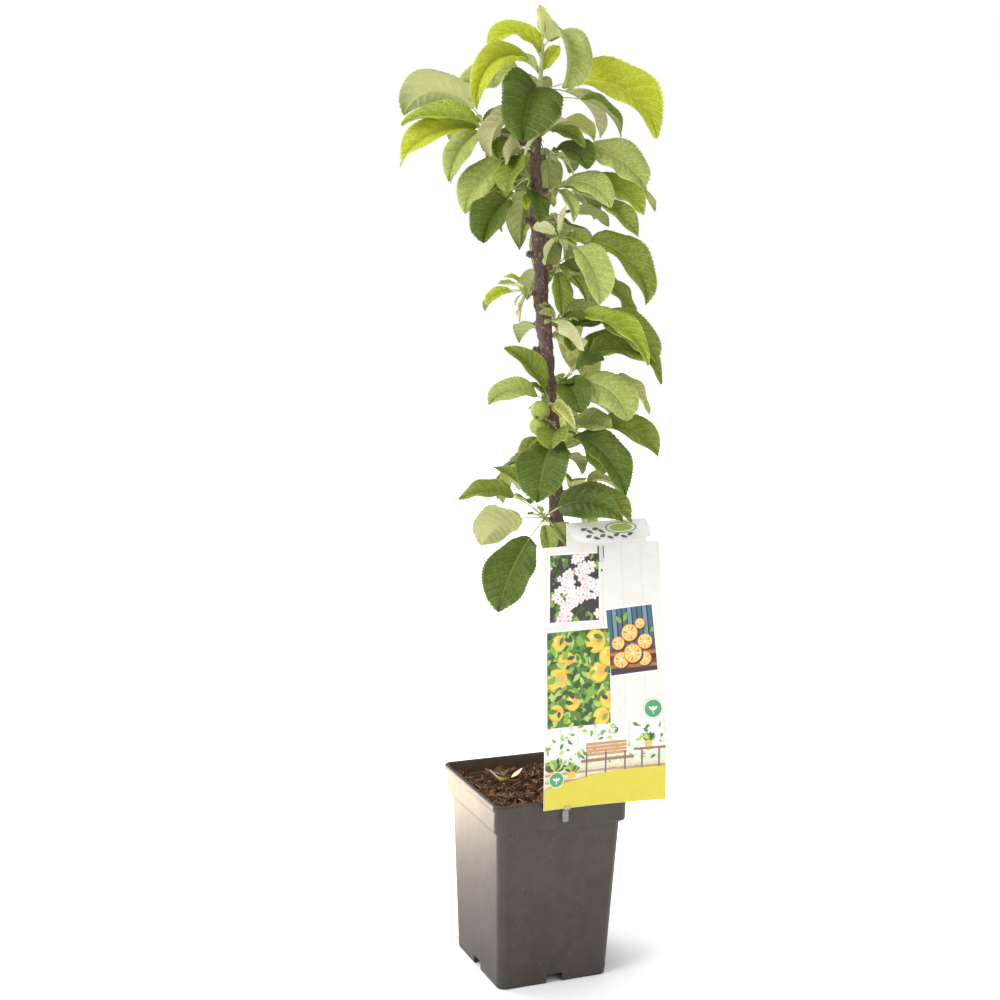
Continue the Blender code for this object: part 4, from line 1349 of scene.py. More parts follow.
@dataclass
class Foliage:
    """Every leaf as a thin closed blade with veins, quilting and a toothed margin, on its own stalk."""

    growth: Growth
    veins: int = 8
    small_veins: int = 5
    small_blade: float = 30.0
    rows_between: int = 4
    columns: tuple[float, ...] = (0.045, 0.24, 0.46, 0.68, 0.85, 0.958)
    vein_half: float = 0.22
    thickness: float = 0.36 * MM
    sweep: float = 0.2
    quilt: float = 0.026
    tooth: float = 0.017
    wave: float = 0.055
    curl: tuple[float, float] = (-0.11, 0.07)
    stalk_sides: int = 6
    # Share of width to length from which a blade is broad, and over which it turns slim
    broad: float = 0.62
    slim_span: float = 0.2
    rib_sunk: float = 0.12 * MM
    # Heights in millimetres from which leaves go with the middle and the top ones
    middle_from: float = 640.0
    top_from: float = 815.0

    @staticmethod
    def breadth(t: np.ndarray, slim: float) -> np.ndarray:
        """Half-width of a blade along its length: a slim one is drawn out, a broad one stays oval.

        Args:
            t: Shares of the blade's length.
            slim: 0 for a broad blade, 1 for a slim one.

        Returns:
            The half-widths, where 1 is the widest.
        """
        t = np.clip(t, 0, 1)
        oval = np.sin(np.pi * t ** (1.1 - 0.28 * slim)) ** (0.58 + 0.14 * slim)
        tip = np.clip((t - 0.55) / 0.45, 0, 1)
        point = np.clip((t - 0.88) / 0.12, 0, 1)
        return oval * (1 - 0.42 * slim * tip ** 2) * (1 - 0.3 * point)

    def rows(self, leaf: Leaf) -> tuple[np.ndarray, np.ndarray, np.ndarray, np.ndarray]:
        """Lines that run from the rib to the margin.

        Args:
            leaf: The leaf, for the size of its blade.

        Returns:
            Each line's start on the rib, its end on the margin, its share of the way from one vein to
            the next, and True where a strip of vein follows it.
        """
        count = self.veins if leaf.blade > self.small_blade else self.small_veins
        half = self.vein_half / leaf.blade
        veins = 0.045 + 0.86 * (np.arange(count) / count) ** 0.95
        starts = [0.006, 0.02]
        ends = [0.016, 0.05]
        phases = [0.0, 0.0]
        strips = [False, False]
        edges = np.append(veins, 1.0)
        reach = edges + self.sweep * np.sin(np.pi * edges ** 0.7)
        reach[-1] = 1.0
        for k in range(count):
            inner = self.rows_between
            span = edges[k + 1] - edges[k]
            starts += [edges[k] - half, edges[k] + half]
            starts += [edges[k] + span * (n + 1) / (inner + 1) for n in range(inner)]
            phases += [0.0, 0.0] + [(n + 1) / (inner + 1) for n in range(inner)]
            strips += [True, False] + [False] * inner
            margin = (reach[k + 1] - reach[k]) / (inner + 2)
            ends += [reach[k] + margin * n for n in range(inner + 2)]
        return np.array(starts), np.array(ends), np.array(phases), np.array(strips)

    def frame_along(self, leaf: Leaf, root: Vector, t: np.ndarray) -> tuple:
        """Centre, left and top directions at shares t of the blade.

        Args:
            leaf: The leaf.
            root: Where its stalk starts, in the front frame.
            t: Shares of the blade's length.

        Returns:
            Centres and both directions, a row for each share.
        """
        middles, tangents, side = BLADE.curve(leaf, root)
        start = leaf.stalk / (leaf.stalk + leaf.blade)
        q = start + (1 - start) * t
        stops = np.linspace(0, 1, len(middles))
        spots = np.array(middles)
        ways = np.array(tangents)
        centre = np.stack([np.interp(q, stops, spots[:, i]) for i in range(3)], -1)
        tangent = np.stack([np.interp(q, stops, ways[:, i]) for i in range(3)], -1)
        across = np.broadcast_to(np.array(side), tangent.shape)
        up = np.cross(tangent, across)
        roll = radians(leaf.roll)
        left = across * cos(roll) + up * sin(roll)
        top = up * cos(roll) - across * sin(roll)
        return centre, left, top

    def blade(self, leaf: Leaf, root: Vector, draw: random.Random) -> tuple:
        """One blade.

        Args:
            leaf: The leaf at its clear place.
            root: Where its stalk starts, in the front frame.
            draw: Random draws for its waves.

        Returns:
            Points in the pot's frame, faces, and a mark for each face: 0 upper, 1 under, 2 vein.
        """
        starts, ends, phases, strips = self.rows(leaf)
        wide = leaf.wide * MM
        slim = min(max((self.broad - leaf.wide / leaf.blade) / self.slim_span, 0.0), 1.0)
        lift = radians(leaf.fold)
        waves = [(draw.uniform(1.6, 2.8), draw.uniform(0, tau), draw.uniform(*self.curl))
                 for _ in range(2)]
        columns = [(-1, 1.0)] + [(-1, w) for w in reversed(self.columns)] + [(0, 0.0)]
        columns += [(1, w) for w in self.columns] + [(1, 1.0)]
        teeth = np.where(np.arange(len(starts)) % 2 == 0, 1.0, -0.35)
        forward = np.where(np.arange(len(starts)) % 2 == 0, 0.35, 0.0) * np.gradient(ends)
        tops = []
        lows = []
        for hand, w in columns:
            edge = w == 1.0
            t = ends + forward if edge else starts + self.sweep * np.sin(np.pi * starts ** 0.7) * w
            t = np.clip(t, 0.0, 0.999)
            reach = self.breadth(ends, slim) * 0.5 * wide
            if edge:
                reach = reach + teeth * self.tooth * wide * np.minimum(1, reach / (0.16 * wide))
            centre, left, top = self.frame_along(leaf, root, t)
            rate, phase, curl = waves[0 if hand < 0 else 1]
            bulge = self.quilt * wide * np.sin(np.pi * phases) ** 0.8 * sin(pi * w ** 0.75)
            ripple = self.wave * wide * w * w * np.sin(rate * tau * ends + phase)
            rolled = curl * wide * w ** 4 * np.sin(np.pi * ends ** 0.8)
            rise = reach * sin(lift) * (1 - (1 - w) ** 1.5) + bulge + ripple + rolled
            flat = centre + left * (hand * w * reach * cos(lift))[:, None]
            sunk = self.rib_sunk * (w <= self.columns[0])
            half = 0.0 if edge else 0.5 * self.thickness
            tops.append(flat + top * (rise + half - sunk)[:, None])
            if not edge:
                lows.append(flat + top * (rise - half - sunk)[:, None])
        base, _, _ = self.frame_along(leaf, root, np.array([0.0, 1.0]))
        return self.skin(np.stack(tops, 1), np.stack(lows, 1), base, strips)

    @staticmethod
    def skin(tops: np.ndarray, lows: np.ndarray, ends: np.ndarray, strips: np.ndarray) -> tuple:
        """Closes the upper and under sides of a blade along its margin.

        Args:
            tops: Upper points by row and column.
            lows: Under points by row and column, without the two margins.
            ends: The blade's foot and its tip.
            strips: True for each row that a strip of vein follows.

        Returns:
            Points in the pot's frame, faces, and a mark for each face: 0 upper, 1 under, 2 vein.
        """
        rows, wide, _ = tops.shape
        points = np.concatenate([tops.reshape(-1, 3), lows.reshape(-1, 3), ends])
        first_low = rows * wide
        inner = wide - 2
        foot = len(points) - 2
        tip = len(points) - 1
        middle = wide // 2

        def upper(i: int, j: int) -> int:
            """Number of an upper point."""
            return i * wide + j

        def under(i: int, j: int) -> int:
            """Number of an under point; the margin's are shared."""
            return i * wide + j if j in (0, wide - 1) else first_low + i * inner + j - 1

        faces = []
        marks = []
        for i in range(rows - 1):
            for j in range(wide - 1):
                vein = j in (0, middle - 1, middle, wide - 2) or strips[i]
                faces.append((upper(i, j), upper(i, j + 1), upper(i + 1, j + 1), upper(i + 1, j)))
                faces.append((under(i, j), under(i + 1, j), under(i + 1, j + 1), under(i, j + 1)))
                marks += [2, 2] if vein else [0, 1]
        last = rows - 1
        for j in range(wide - 1):
            faces.append((foot, upper(0, j + 1), upper(0, j)))
            faces.append((foot, under(0, j), under(0, j + 1)))
            faces.append((tip, upper(last, j), upper(last, j + 1)))
            faces.append((tip, under(last, j + 1), under(last, j)))
            marks += [0, 1, 0, 1]
        turned = points @ np.array(FRONT).T
        return turned.tolist(), faces, marks

    def stalk(self, leaf: Leaf, root: Vector) -> Skin:
        """The stalk, running on under the blade as its tapering midrib.

        Args:
            leaf: The leaf.
            root: Where its stalk starts, in the front frame.

        Returns:
            Points and faces.
        """
        start = leaf.stalk / (leaf.stalk + leaf.blade)
        stalk_share = -start / (1 - start)
        shares = np.concatenate([np.linspace(stalk_share, 0, 8), np.linspace(0.06, 0.94, 12)])
        centre, left, top = self.frame_along(leaf, root, shares)
        size = min(1.0, 0.55 + leaf.blade / 140)
        rings = []
        for k, t in enumerate(shares):
            on_stalk = min(0.0, t) / stalk_share
            radius = (0.62 + 0.34 * on_stalk ** 3) * MM * size if t <= 0 else (0.56 - 0.44 * t) * MM * size
            drop = smooth_step(-0.05, 0.1, t) * (0.5 * self.thickness + 0.25 * radius)
            rings.append(hoop(centre[k] - top[k] * drop, left[k], top[k], radius, self.stalk_sides))
        return loft(rings)

    def stipules(self, leaf: Leaf, root: Vector, draw: random.Random) -> list[Skin]:
        """The two small narrow blades at a stalk's foot.

        Args:
            leaf: The leaf.
            root: Where its stalk starts, in the front frame.
            draw: Random draws.

        Returns:
            Points and faces of each.
        """
        made = []
        for hand in (-1, 1):
            tiny = Leaf(leaf.turn + hand * draw.uniform(24, 44), leaf.rise + draw.uniform(5, 30), 0.6,
                        draw.uniform(4.5, 8.5), draw.uniform(1.4, 2.2), draw.uniform(20, 60),
                        fold=draw.uniform(10, 30))
            way = heading(leaf.turn, leaf.rise)
            made.append(self.sliver(tiny, root + way * 2.6 * MM))
        return made

    def sliver(self, leaf: Leaf, root: Vector) -> Skin:
        """A plain narrow blade of a few faces.

        Args:
            leaf: The leaf.
            root: Where its stalk starts, in the front frame.

        Returns:
            Points and faces.
        """
        rings = []
        shares = np.array([0.0, 0.3, 0.6, 0.85])
        centre, left, top = self.frame_along(leaf, root, shares)
        for k, t in enumerate(shares):
            half = 0.5 * leaf.wide * MM * max(0.25, sin(pi * (0.12 + 0.8 * t)))
            thin = 0.14 * MM
            rings.append([from_front(p) for p in (
                centre[k] + left[k] * half, centre[k] + top[k] * thin, centre[k] - left[k] * half,
                centre[k] - top[k] * thin)])
        end, _, _ = self.frame_along(leaf, root, np.array([1.0]))
        rings.append([from_front(end[0])])
        return loft(rings)

    def build(self) -> None:
        """Makes the leaves in four pieces by place, and the stalks and the stipules in one piece each."""
        draw = random.Random(5)
        shapes = {name: Shape(name) for name in ("leaves_top", "leaves_middle", "leaves_low", "leaves_rear")}
        nodes: dict[str, set[str]] = {name: set() for name in shapes}
        heights = {c.name: c.height for c in CLUSTERS}
        stalks = Shape("leaf_stalks")
        slivers = Shape("leaf_stipules")
        for name, leaf, root in self.growth.leaves:
            height = heights.get(name, 900)
            place = "leaves_rear" if name.startswith("rear") else (
                "leaves_top" if height > self.top_from else
                "leaves_middle" if height > self.middle_from else "leaves_low")
            nodes[place].add(f"foliage_{name}")
            looks = [finish.make() for finish in LeafFinish.of(leaf.tint)]
            points, faces, marks = self.blade(leaf, root, draw)
            shapes[place].add(points, faces, [looks[m] for m in marks])
            stalks.add(*self.stalk(leaf, root), FLESH["stalk"].make())
            for part in self.stipules(leaf, root, draw):
                slivers.add(*part, FLESH["stalk"].make())
        for place, shape in shapes.items():
            shape.build("leaf", tuple(sorted(nodes[place])), sharp=75)
        stalks.build("leaf", sharp=70, tidy=True)
        slivers.build("leaf", sharp=50, tidy=True)


@dataclass
class Trunk:
    """The trunk in rough bark relief: lumps, cracks, pores, scars, knobs, cut stubs and dormant buds."""

    sides: int = 60
    step: float = 1.15 * MM
    # Depth of each size of lump, its spread round the trunk and its rate along it
    lumps: tuple[Triple, ...] = (
        (2.3 * MM, 0.6, 27.0), (1.8 * MM, 1.2, 72.0), (1.0 * MM, 2.6, 190.0), (0.7 * MM, 5.0, 380.0),
    )
    pores: int = 950
    scar_rings: tuple[float, ...] = (296.0, 431.0, 548.0, 690.0, 728.0, 822.0)
    scar_half: float = 1.1
    scar_reach: float = 3.2
    scar_drift: float = 2.4
    scar_high: float = 0.34 * MM
    scar_rate: float = 2.4
    patch_tall: float = 3.4
    patch_wide: float = 0.85
    patch_below: float = 6.0
    patch_deep: float = 0.25 * MM
    bud_long: float = 5.2 * MM
    bud_wide: float = 3.0 * MM
    stub_long: float = 7.0 * MM
    stub_wide: float = 6.6 * MM
    stub_rows: int = 12
    stub_sides: int = 14
    stub_turn: float = 21.0

    def relief(self, z: float, a: float, pores: list) -> tuple[float, bool]:
        """Relief at a height and an angle, and whether a pore lies there.

        Args:
            z: Height in metres.
            a: Angle round the trunk, in radians.
            pores: Height, angle and size of each pore near by.

        Returns:
            The relief, and whether a pore shows.
        """
        bark = 0.0
        for depth, spread, rate in self.lumps:
            bark += depth * noise(Vector((cos(a) * spread, sin(a) * spread, z * rate + 3 * spread)))
        in_pore = False
        for pore_z, pore_a, tall, wide in pores:
            off = (z - pore_z) / tall
            turn = (a - pore_a + pi) % tau - pi
            gap = off * off + (turn / wide) ** 2
            if gap < 1:
                bark += 0.25 * MM * (1 - gap)
                in_pore = in_pore or gap < 0.7
        return bark, in_pore

    def scar(self, z: float, a: float, knobs: list) -> tuple[float, bool]:
        """Relief of the ring scars and of the torn bark under each knob, and whether bare bark shows.

        Args:
            z: Height in metres.
            a: Angle round the trunk, in radians.
            knobs: Height and turn of each knob near by.

        Returns:
            The relief, and whether bare bark shows.
        """
        rise = 0.0
        bare = False
        for ring in self.scar_rings:
            drift = noise(Vector((cos(a), sin(a), ring)))
            off = z / MM - ring - self.scar_drift * drift
            if abs(off) < self.scar_reach:
                rise += self.scar_high * cos(off * self.scar_rate) * (1 - abs(off) / self.scar_reach)
                bare = bare or (abs(off) < self.scar_half and drift > 0.02)
        for height, turn in knobs:
            off = (z / MM - height + self.patch_below) / self.patch_tall
            side = (a - radians(turn) + pi) % tau - pi
            ragged = 1.1 * noise(Vector((side * 3, z * 400, height)))
            if off * off + (side / self.patch_wide) ** 2 < 0.75 + ragged:
                rise -= self.patch_deep
                bare = True
        return rise, bare

    def build(self) -> None:
        """Makes the trunk and its buds."""
        draw = random.Random(21)
        low, high = TRUNK.foot, TRUNK.top
        rows = int((high - low) / self.step)
        pores = [(draw.uniform(low, high), draw.uniform(0, tau), draw.uniform(0.6, 1.3) * MM,
                  draw.uniform(0.08, 0.16)) for _ in range(self.pores)]
        shape = Shape("trunk_bark")
        rings = []
        looks = []
        for n in range(rows + 1):
            z = low + (high - low) * n / rows
            near = [p for p in pores if abs(p[0] - z) < 1.4 * MM]
            knobs = [k for k in TRUNK.knobs() if abs(k[0] - self.patch_below - z / MM) < 9]
            fade = smooth_step(0, 3, n) * smooth_step(0, 3, rows - n)
            centre = TRUNK.centre(z)
            ring = []
            for k in range(self.sides):
                a = tau * k / self.sides
                bark, in_pore = self.relief(z, a, near)
                rise, bare = self.scar(z, a, knobs)
                r = TRUNK.radius(z, a) + (bark + rise) * fade
                ring.append(from_front(centre + Vector((r * cos(a), r * sin(a), 0))))
                if n < rows:
                    looks.append((SCAR if bare else PORE if in_pore else BARK).make())
            rings.append(ring)
        points, faces = loft(rings)
        shape.add(points, faces, looks + [BARK.make()] * 2)
        shape.build("bark", ("trunk",), sharp=80)
        self.build_buds()

    def build_buds(self) -> None:
        """Makes a bud in overlapping scales on each dormant knob, or a cut stub on the left-hand ones."""
        shape = Shape("trunk_buds")
        for height, turn in TRUNK.dormant_knobs:
            z = height * MM
            a = radians(turn)
            out = level_way(a)
            root = TRUNK.centre(z) + out * (TRUNK.radius(z, a) - 0.8 * MM)
            if abs(turn - 180) < self.stub_turn:
                self.add_stub(shape, root, (out + Vector((0, 0, 0.35))).normalized())
                continue
            way = (out + Vector((0, 0, 1.1))).normalized()
            across = way.cross(out).normalized()
            other = across.cross(way)
            for scale in range(3):
                lean = (scale - 1) * 0.5
                rings = []
                for s in range(7):
                    t = s / 6
                    wide = 0.5 * self.bud_wide * sin(pi * (0.22 + 0.7 * t)) ** 0.8
                    wide *= 1 - 0.14 * scale
                    centre = root + way * self.bud_long * t * (0.8 + 0.12 * scale) + across * lean * 0.5 * MM
                    rings.append(hoop(centre, across, other, wide, 10))
                shape.add(*loft(rings), FLESH["bud"].make())
        shape.build("bark", sharp=50, tidy=True)

    def add_stub(self, shape: Shape, root: Vector, way: Vector) -> None:
        """Adds the knobbly remains of a spur, with a pale cut end.

        Args:
            shape: The piece that it goes into.
            root: Where it leaves the trunk, in the front frame.
            way: Its direction, in the front frame.
        """
        across, up = limb_frame(root, root + way)
        rings = []
        for s in range(self.stub_rows + 1):
            t = s / self.stub_rows
            radius = 0.5 * self.stub_wide * (1.1 - 0.25 * t) * (1 + 0.14 * cos(tau * 2.6 * t))
            radius *= cos(1.25 * max(0.0, t - 0.72) / 0.28) ** 0.5
            spot = root + way * t * self.stub_long
            rings.append(hoop(spot, across, up, lambda a: radius * (
                1 + 0.2 * noise(spot * 300 + level_way(a))), self.stub_sides))
        points, faces = loft(rings)
        cut_from = self.stub_sides * (self.stub_rows - 1)
        looks = [(SCAR if n >= cut_from else BARK).make() for n in range(len(faces))]
        shape.add(points, faces, looks)


@dataclass
class Spurs:
    """Spurs and the left bough, ringed with old scale scars, and the green stems that go on from them."""

    growth: Growth
    sides: int = 16
    ring_gap: float = 1.6 * MM
    ring_high: float = 0.3 * MM
    # Along the limb, in millimetres: where it swells out of the trunk, and its ring of torn bark
    swell_at: float = 6.5
    swell_spread: float = 3.2
    torn_at: float = 6.2
    torn_half: float = 0.9

    def limb(self, start: Vector, end: Vector, thick: float, thin: float, sag: float,
             swell: float) -> tuple[list, list, list]:
        """Points, faces and finishes of one ringed limb that swells where it leaves the trunk.

        Args:
            start: First end, in the front frame.
            end: Other end, in the front frame.
            thick: Diameter at the start.
            thin: Diameter at the end.
            sag: How far its middle hangs down.
            swell: What its foot swells by.

        Returns:
            Points, faces and a finish for each face.
        """
        across, up = limb_frame(start, end)
        length = (end - start).length
        steps = max(10, int(length / (0.4 * MM)))
        rings = []
        for s in range(steps + 1):
            t = s / steps
            centre = start.lerp(end, t) - Vector((0, 0, sag * sin(pi * t)))
            radius = 0.5 * (thick + (thin - thick) * t)
            ridge = self.ring_high * cos(tau * t * length / self.ring_gap)
            off = t * length / MM
            radius += swell * exp(-((off - self.swell_at) / self.swell_spread) ** 2)

            def rough(a: float) -> float:
                """Radius at an angle, with ridges and grain."""
                spot = centre * 260 + level_way(a) * 0.8
                return radius + ridge * (0.55 + 0.45 * noise(spot)) + 0.25 * MM * noise(spot * 1.7)

            rings.append(hoop(centre, across, up, rough, self.sides))
        points, faces = loft(rings)
        looks = []
        for n in range(len(faces)):
            off = (n // self.sides) / steps * length / MM
            torn = abs(off - self.torn_at) < self.torn_half and n < steps * self.sides
            looks.append((SCAR if torn else BARK).make())
        return points, faces, looks

    def build(self) -> None:
        """Makes the limbs and the stems."""
        limbs = Shape("spur_bark")
        bough = Shape("left_bough_bark")
        names = []
        for cluster in CLUSTERS:
            root, tip, _, _ = SPUR.axis(cluster)
            way = (tip - root).normalized()
            long_limb = SPUR.is_long(cluster)
            shape = bough if long_limb else limbs
            shape.add(*self.limb(root + way * 2 * MM, tip, SPUR.thick, SPUR.tip, SPUR.sag(cluster), 1.1 * MM))
            if not long_limb:
                names.append(f"spur_{cluster.name}")
        limbs.build("bark", tuple(names), sharp=80, tidy=True)
        bough.build("bark", ("left_bough",), sharp=80, tidy=True)
        shoots = Shape("green_shoots")
        for name, (start, end) in self.growth.stems.items():
            leader = name == "leader"
            thick = TRUNK.shoot_thick if leader else SPUR.stem_thick
            thin = TRUNK.shoot_thin if leader else SPUR.stem_tip
            way = (end - start).normalized()
            points, faces, _ = self.limb(start - way * GAP, end, thick, thin, 0.0, 0.0)
            shoots.add(points, faces, FLESH["shoot"].make())
        shoots.build("leaf", sharp=80, tidy=True)


@dataclass
class Fruit:
    """The young apples, with ribs round the eye, the dried calyx and their stalks."""

    growth: Growth
    sides: int = 40
    rows: int = 26
    sepals: int = 5

    def build(self) -> None:
        """Makes the apples on their cluster's stem."""
        skin = GreenFinish("apple_skin", (0.235, 0.290, 0.035), (0.330, 0.375, 0.085), 90.0, (0.36, 0.5))
        shape = Shape("young_apples")
        for apple in APPLES:
            start, end = self.growth.stems[apple.cluster]
            root = start.lerp(end, 0.5)
            middle, down = apple.places(root)
            size = apple.radius * MM
            across = down.orthogonal().normalized()
            other = down.cross(across)
            rings = []
            for r in range(self.rows + 1):
                a = pi * (0.02 + 0.96 * r / self.rows)
                dimple = 0.30 * exp(-(a / 0.42) ** 2) - 0.16 * exp(-((pi - a) / 0.34) ** 2)
                level = middle - down * size * (cos(a) - dimple)
                rings.append(hoop(level, across, other, lambda b: size * sin(a) ** 0.82 * (
                    1 + 0.035 * cos(5 * b) * smooth_step(0.5, 1.0, r / self.rows)), self.sides))
            shape.add(*loft(rings), skin.make())
            shape.add(*loft(tube(root, middle - down * size * 0.6, 1.5 * MM, 1.2 * MM, 8, 6)),
                      FLESH["stalk"].make())
            eye = middle + down * size * 0.84
            for k in range(self.sepals):
                b = tau * k / self.sepals
                out = cos(b) * across + sin(b) * other
                tangent = down.cross(out)
                rings = []
                for t in (0.0, 0.35, 0.7, 1.0):
                    spot = eye + out * size * (0.06 + 0.22 * t) + down * size * (0.18 * sin(2.4 * t))
                    wide = size * 0.11 * (1 - t) + 0.05 * MM
                    rings.append([from_front(p) for p in (
                        spot + tangent * wide, spot + down * 0.16 * MM, spot - tangent * wide,
                        spot - down * 0.16 * MM)])
                shape.add(*loft(rings), FLESH["bud"].make())
        shape.build("leaf", sharp=60, tidy=True)


@dataclass
class Pot:
    """Square tapering nursery pot with a foot band, notches, a band, a lip and drain holes."""

    height: float = 200 * MM
    foot: float = 60.4 * MM
    body: float = 67.8 * MM
    band: float = 72.6 * MM
    lip: float = 75.0 * MM
    band_drop: float = 30.6 * MM
    lip_deep: float = 6.4 * MM
    wall: float = 1.6 * MM
    foot_tall: float = 10.0 * MM
    floor: float = 10.5 * MM
    corner: float = 9.0 * MM
    corner_steps: int = 12
    notch_wide: float = 18 * MM
    notch_tall: float = 9.5 * MM
    drain_radius: float = 5 * MM
    drain_out: float = 33 * MM
    inner_rings: tuple[int, int] = (29, 33)
    hold: float = 2.5 * MM
    sharp: float = 35.0

    def ring(self, half: float, z: float, corner: float | None = None) -> list[Vector]:
        """Ring of a square with round corners, at height z, its straight sides held flat.

        Args:
            half: Half of its width.
            z: Height in metres.
            corner: Radius of its corners, if not the pot's own.

        Returns:
            The ring.
        """
        bend = self.corner if corner is None else corner
        inset = half - bend
        ring = []
        for quarter, (sx, sy) in enumerate(((1, 1), (-1, 1), (-1, -1), (1, -1))):
            for k in range(-1, self.corner_steps + 2):
                a = radians(90 * quarter + 90 * min(max(k, 0), self.corner_steps) / self.corner_steps)
                hold = self.hold * ((k < 0) - (k > self.corner_steps))
                ring.append(Vector((sx * inset + bend * cos(a) + hold * sin(a),
                                    sy * inset + bend * sin(a) - hold * cos(a), z)))
        return ring

    def body_half(self, z: float) -> float:
        """Half-width of the tapering body at height z."""
        share = (z - self.foot_tall) / (self.height - self.band_drop - self.foot_tall)
        return self.foot + 0.5 * MM + (self.body - self.foot - 0.5 * MM) * share

    def rings(self) -> list[list[Vector]]:
        """Rings from the floor's middle, out round the foot, up the outside and down the inside.

        Returns:
            The rings in order.
        """
        step = self.height - self.band_drop
        lip = self.height - self.lip_deep
        inside = self.band - self.wall
        thin = self.corner - self.wall
        foot_in = self.foot - 2.6 * MM
        round_off = 0.35 * MM
        under = ((foot_in, self.floor), (foot_in, 0.0))
        body = (self.foot_tall + MM, self.foot_tall + self.hold, 0.5 * step, step - 1.6 * self.hold)
        outside = (
            (self.foot - round_off, 0.0), (self.foot, round_off),
            (self.foot + 0.8 * MM, self.foot_tall - 0.4 * MM), (self.foot + 0.6 * MM, self.foot_tall),
            (self.body_half(self.foot_tall), self.foot_tall + 0.3 * MM),
            *((self.body_half(z), z) for z in body),
            (self.body - 0.1 * MM, step - 1.2 * MM), (self.body + 0.3 * MM, step - 0.2 * MM),
            (self.body + 0.9 * MM, step), (self.band - 1.3 * MM, step),
            (self.band - 0.6 * MM, step + 0.3 * MM), (self.band - 0.3 * MM, step + 1.2 * MM),
            (self.band - 0.28 * MM, step + 1.4 * self.hold), (self.band - 0.12 * MM, lip - 1.4 * self.hold),
            (self.band - 0.1 * MM, lip - 1.2 * MM), (self.band + 0.4 * MM, lip - 0.3 * MM),
            (self.lip - 0.6 * MM, lip), (self.lip - 0.1 * MM, lip + 0.6 * MM),
            (self.lip, lip + 1.2 * MM), (self.lip, lip + self.hold), (self.lip, self.height - 1.2 * MM),
            (self.lip - 0.3 * MM, self.height - 0.4 * MM), (self.lip - 0.9 * MM, self.height),
        )
        within = (
            (inside + 0.8 * MM, self.height), (inside + 0.2 * MM, self.height - 0.3 * MM),
            (inside, self.height - 1.0 * MM), (inside - 0.4 * MM, step + self.wall + 0.6 * MM),
            (self.body - self.wall, step - 0.6 * MM),
            (self.foot - self.wall + 0.6 * MM, self.floor + self.wall),
        )
        return ([self.ring(half, z, thin) for half, z in under] + [self.ring(half, z) for half, z in outside]
                + [self.ring(half, z, thin) for half, z in within])

    def box(self, x: float, y: float, low: float, high: float) -> Skin:
        """Points and faces of a box about the origin, between two heights."""
        ring = [(-x, -y), (x, -y), (x, y), (-x, y)]
        return loft([[Vector((a, b, low)) for a, b in ring], [Vector((a, b, high)) for a, b in ring]])

    def cut(self, piece: bpy.types.Object, shapes: list[tuple]) -> None:
        """Cuts shapes out of the pot for good.

        Args:
            piece: The pot.
            shapes: Points and faces of each cutter.
        """
        for points, faces in shapes:
            mesh = bpy.data.meshes.new("cutter")
            mesh.from_pydata([tuple(p) for p in points], [], faces)
            cutter = new_object("cutter", mesh)
            trim = piece.modifiers.new("trim", "BOOLEAN")
            trim.operation = "DIFFERENCE"
            trim.solver = "EXACT"
            trim.object = cutter
            sight = bpy.context.evaluated_depsgraph_get()
            cut_mesh = bpy.data.meshes.new_from_object(piece.evaluated_get(sight))
            piece.modifiers.clear()
            piece.data = cut_mesh
            bpy.data.objects.remove(cutter)

    def build(self) -> None:
        """Makes the pot and cuts its notches and drain holes."""
        plastic = PlasticFinish("pot_plastic", (0.033, 0.0245, 0.0165), (0.080, 0.066, 0.051))
        inside = PlasticFinish("pot_inside", (0.080, 0.054, 0.032), (0.130, 0.092, 0.058))
        rings = self.rings()
        points, faces = loft(rings)
        sides = len(rings[0])
        inner = range(self.inner_rings[0] * sides, self.inner_rings[1] * sides)
        looks = [(inside if n in inner else plastic).make() for n in range(len(faces))]
        shape = Shape("pot_shell")
        shape.add(points, faces, looks)
        piece = shape.build("pot", ("pot",), self.sharp, tidy=True)
        far = self.foot + 10 * MM
        half = 0.5 * self.notch_wide
        cutters = [self.box(x, y, -5 * MM, self.notch_tall) for x, y in ((half, far), (far, half))]
        for sx, sy in ((0, 0), (1, 1), (-1, 1), (-1, -1), (1, -1)):
            rings = []
            for z in (self.floor - 4 * MM, self.floor + 6 * MM):
                rings.append([Vector((sx * self.drain_out + self.drain_radius * cos(a),
                                      sy * self.drain_out + self.drain_radius * sin(a), z))
                              for a in (tau * k / 28 for k in range(28))])
            cutters.append(loft(rings))
        self.cut(piece, cutters)
        piece.data.shade_smooth()
        piece.data.set_sharp_from_angle(angle=radians(self.sharp))


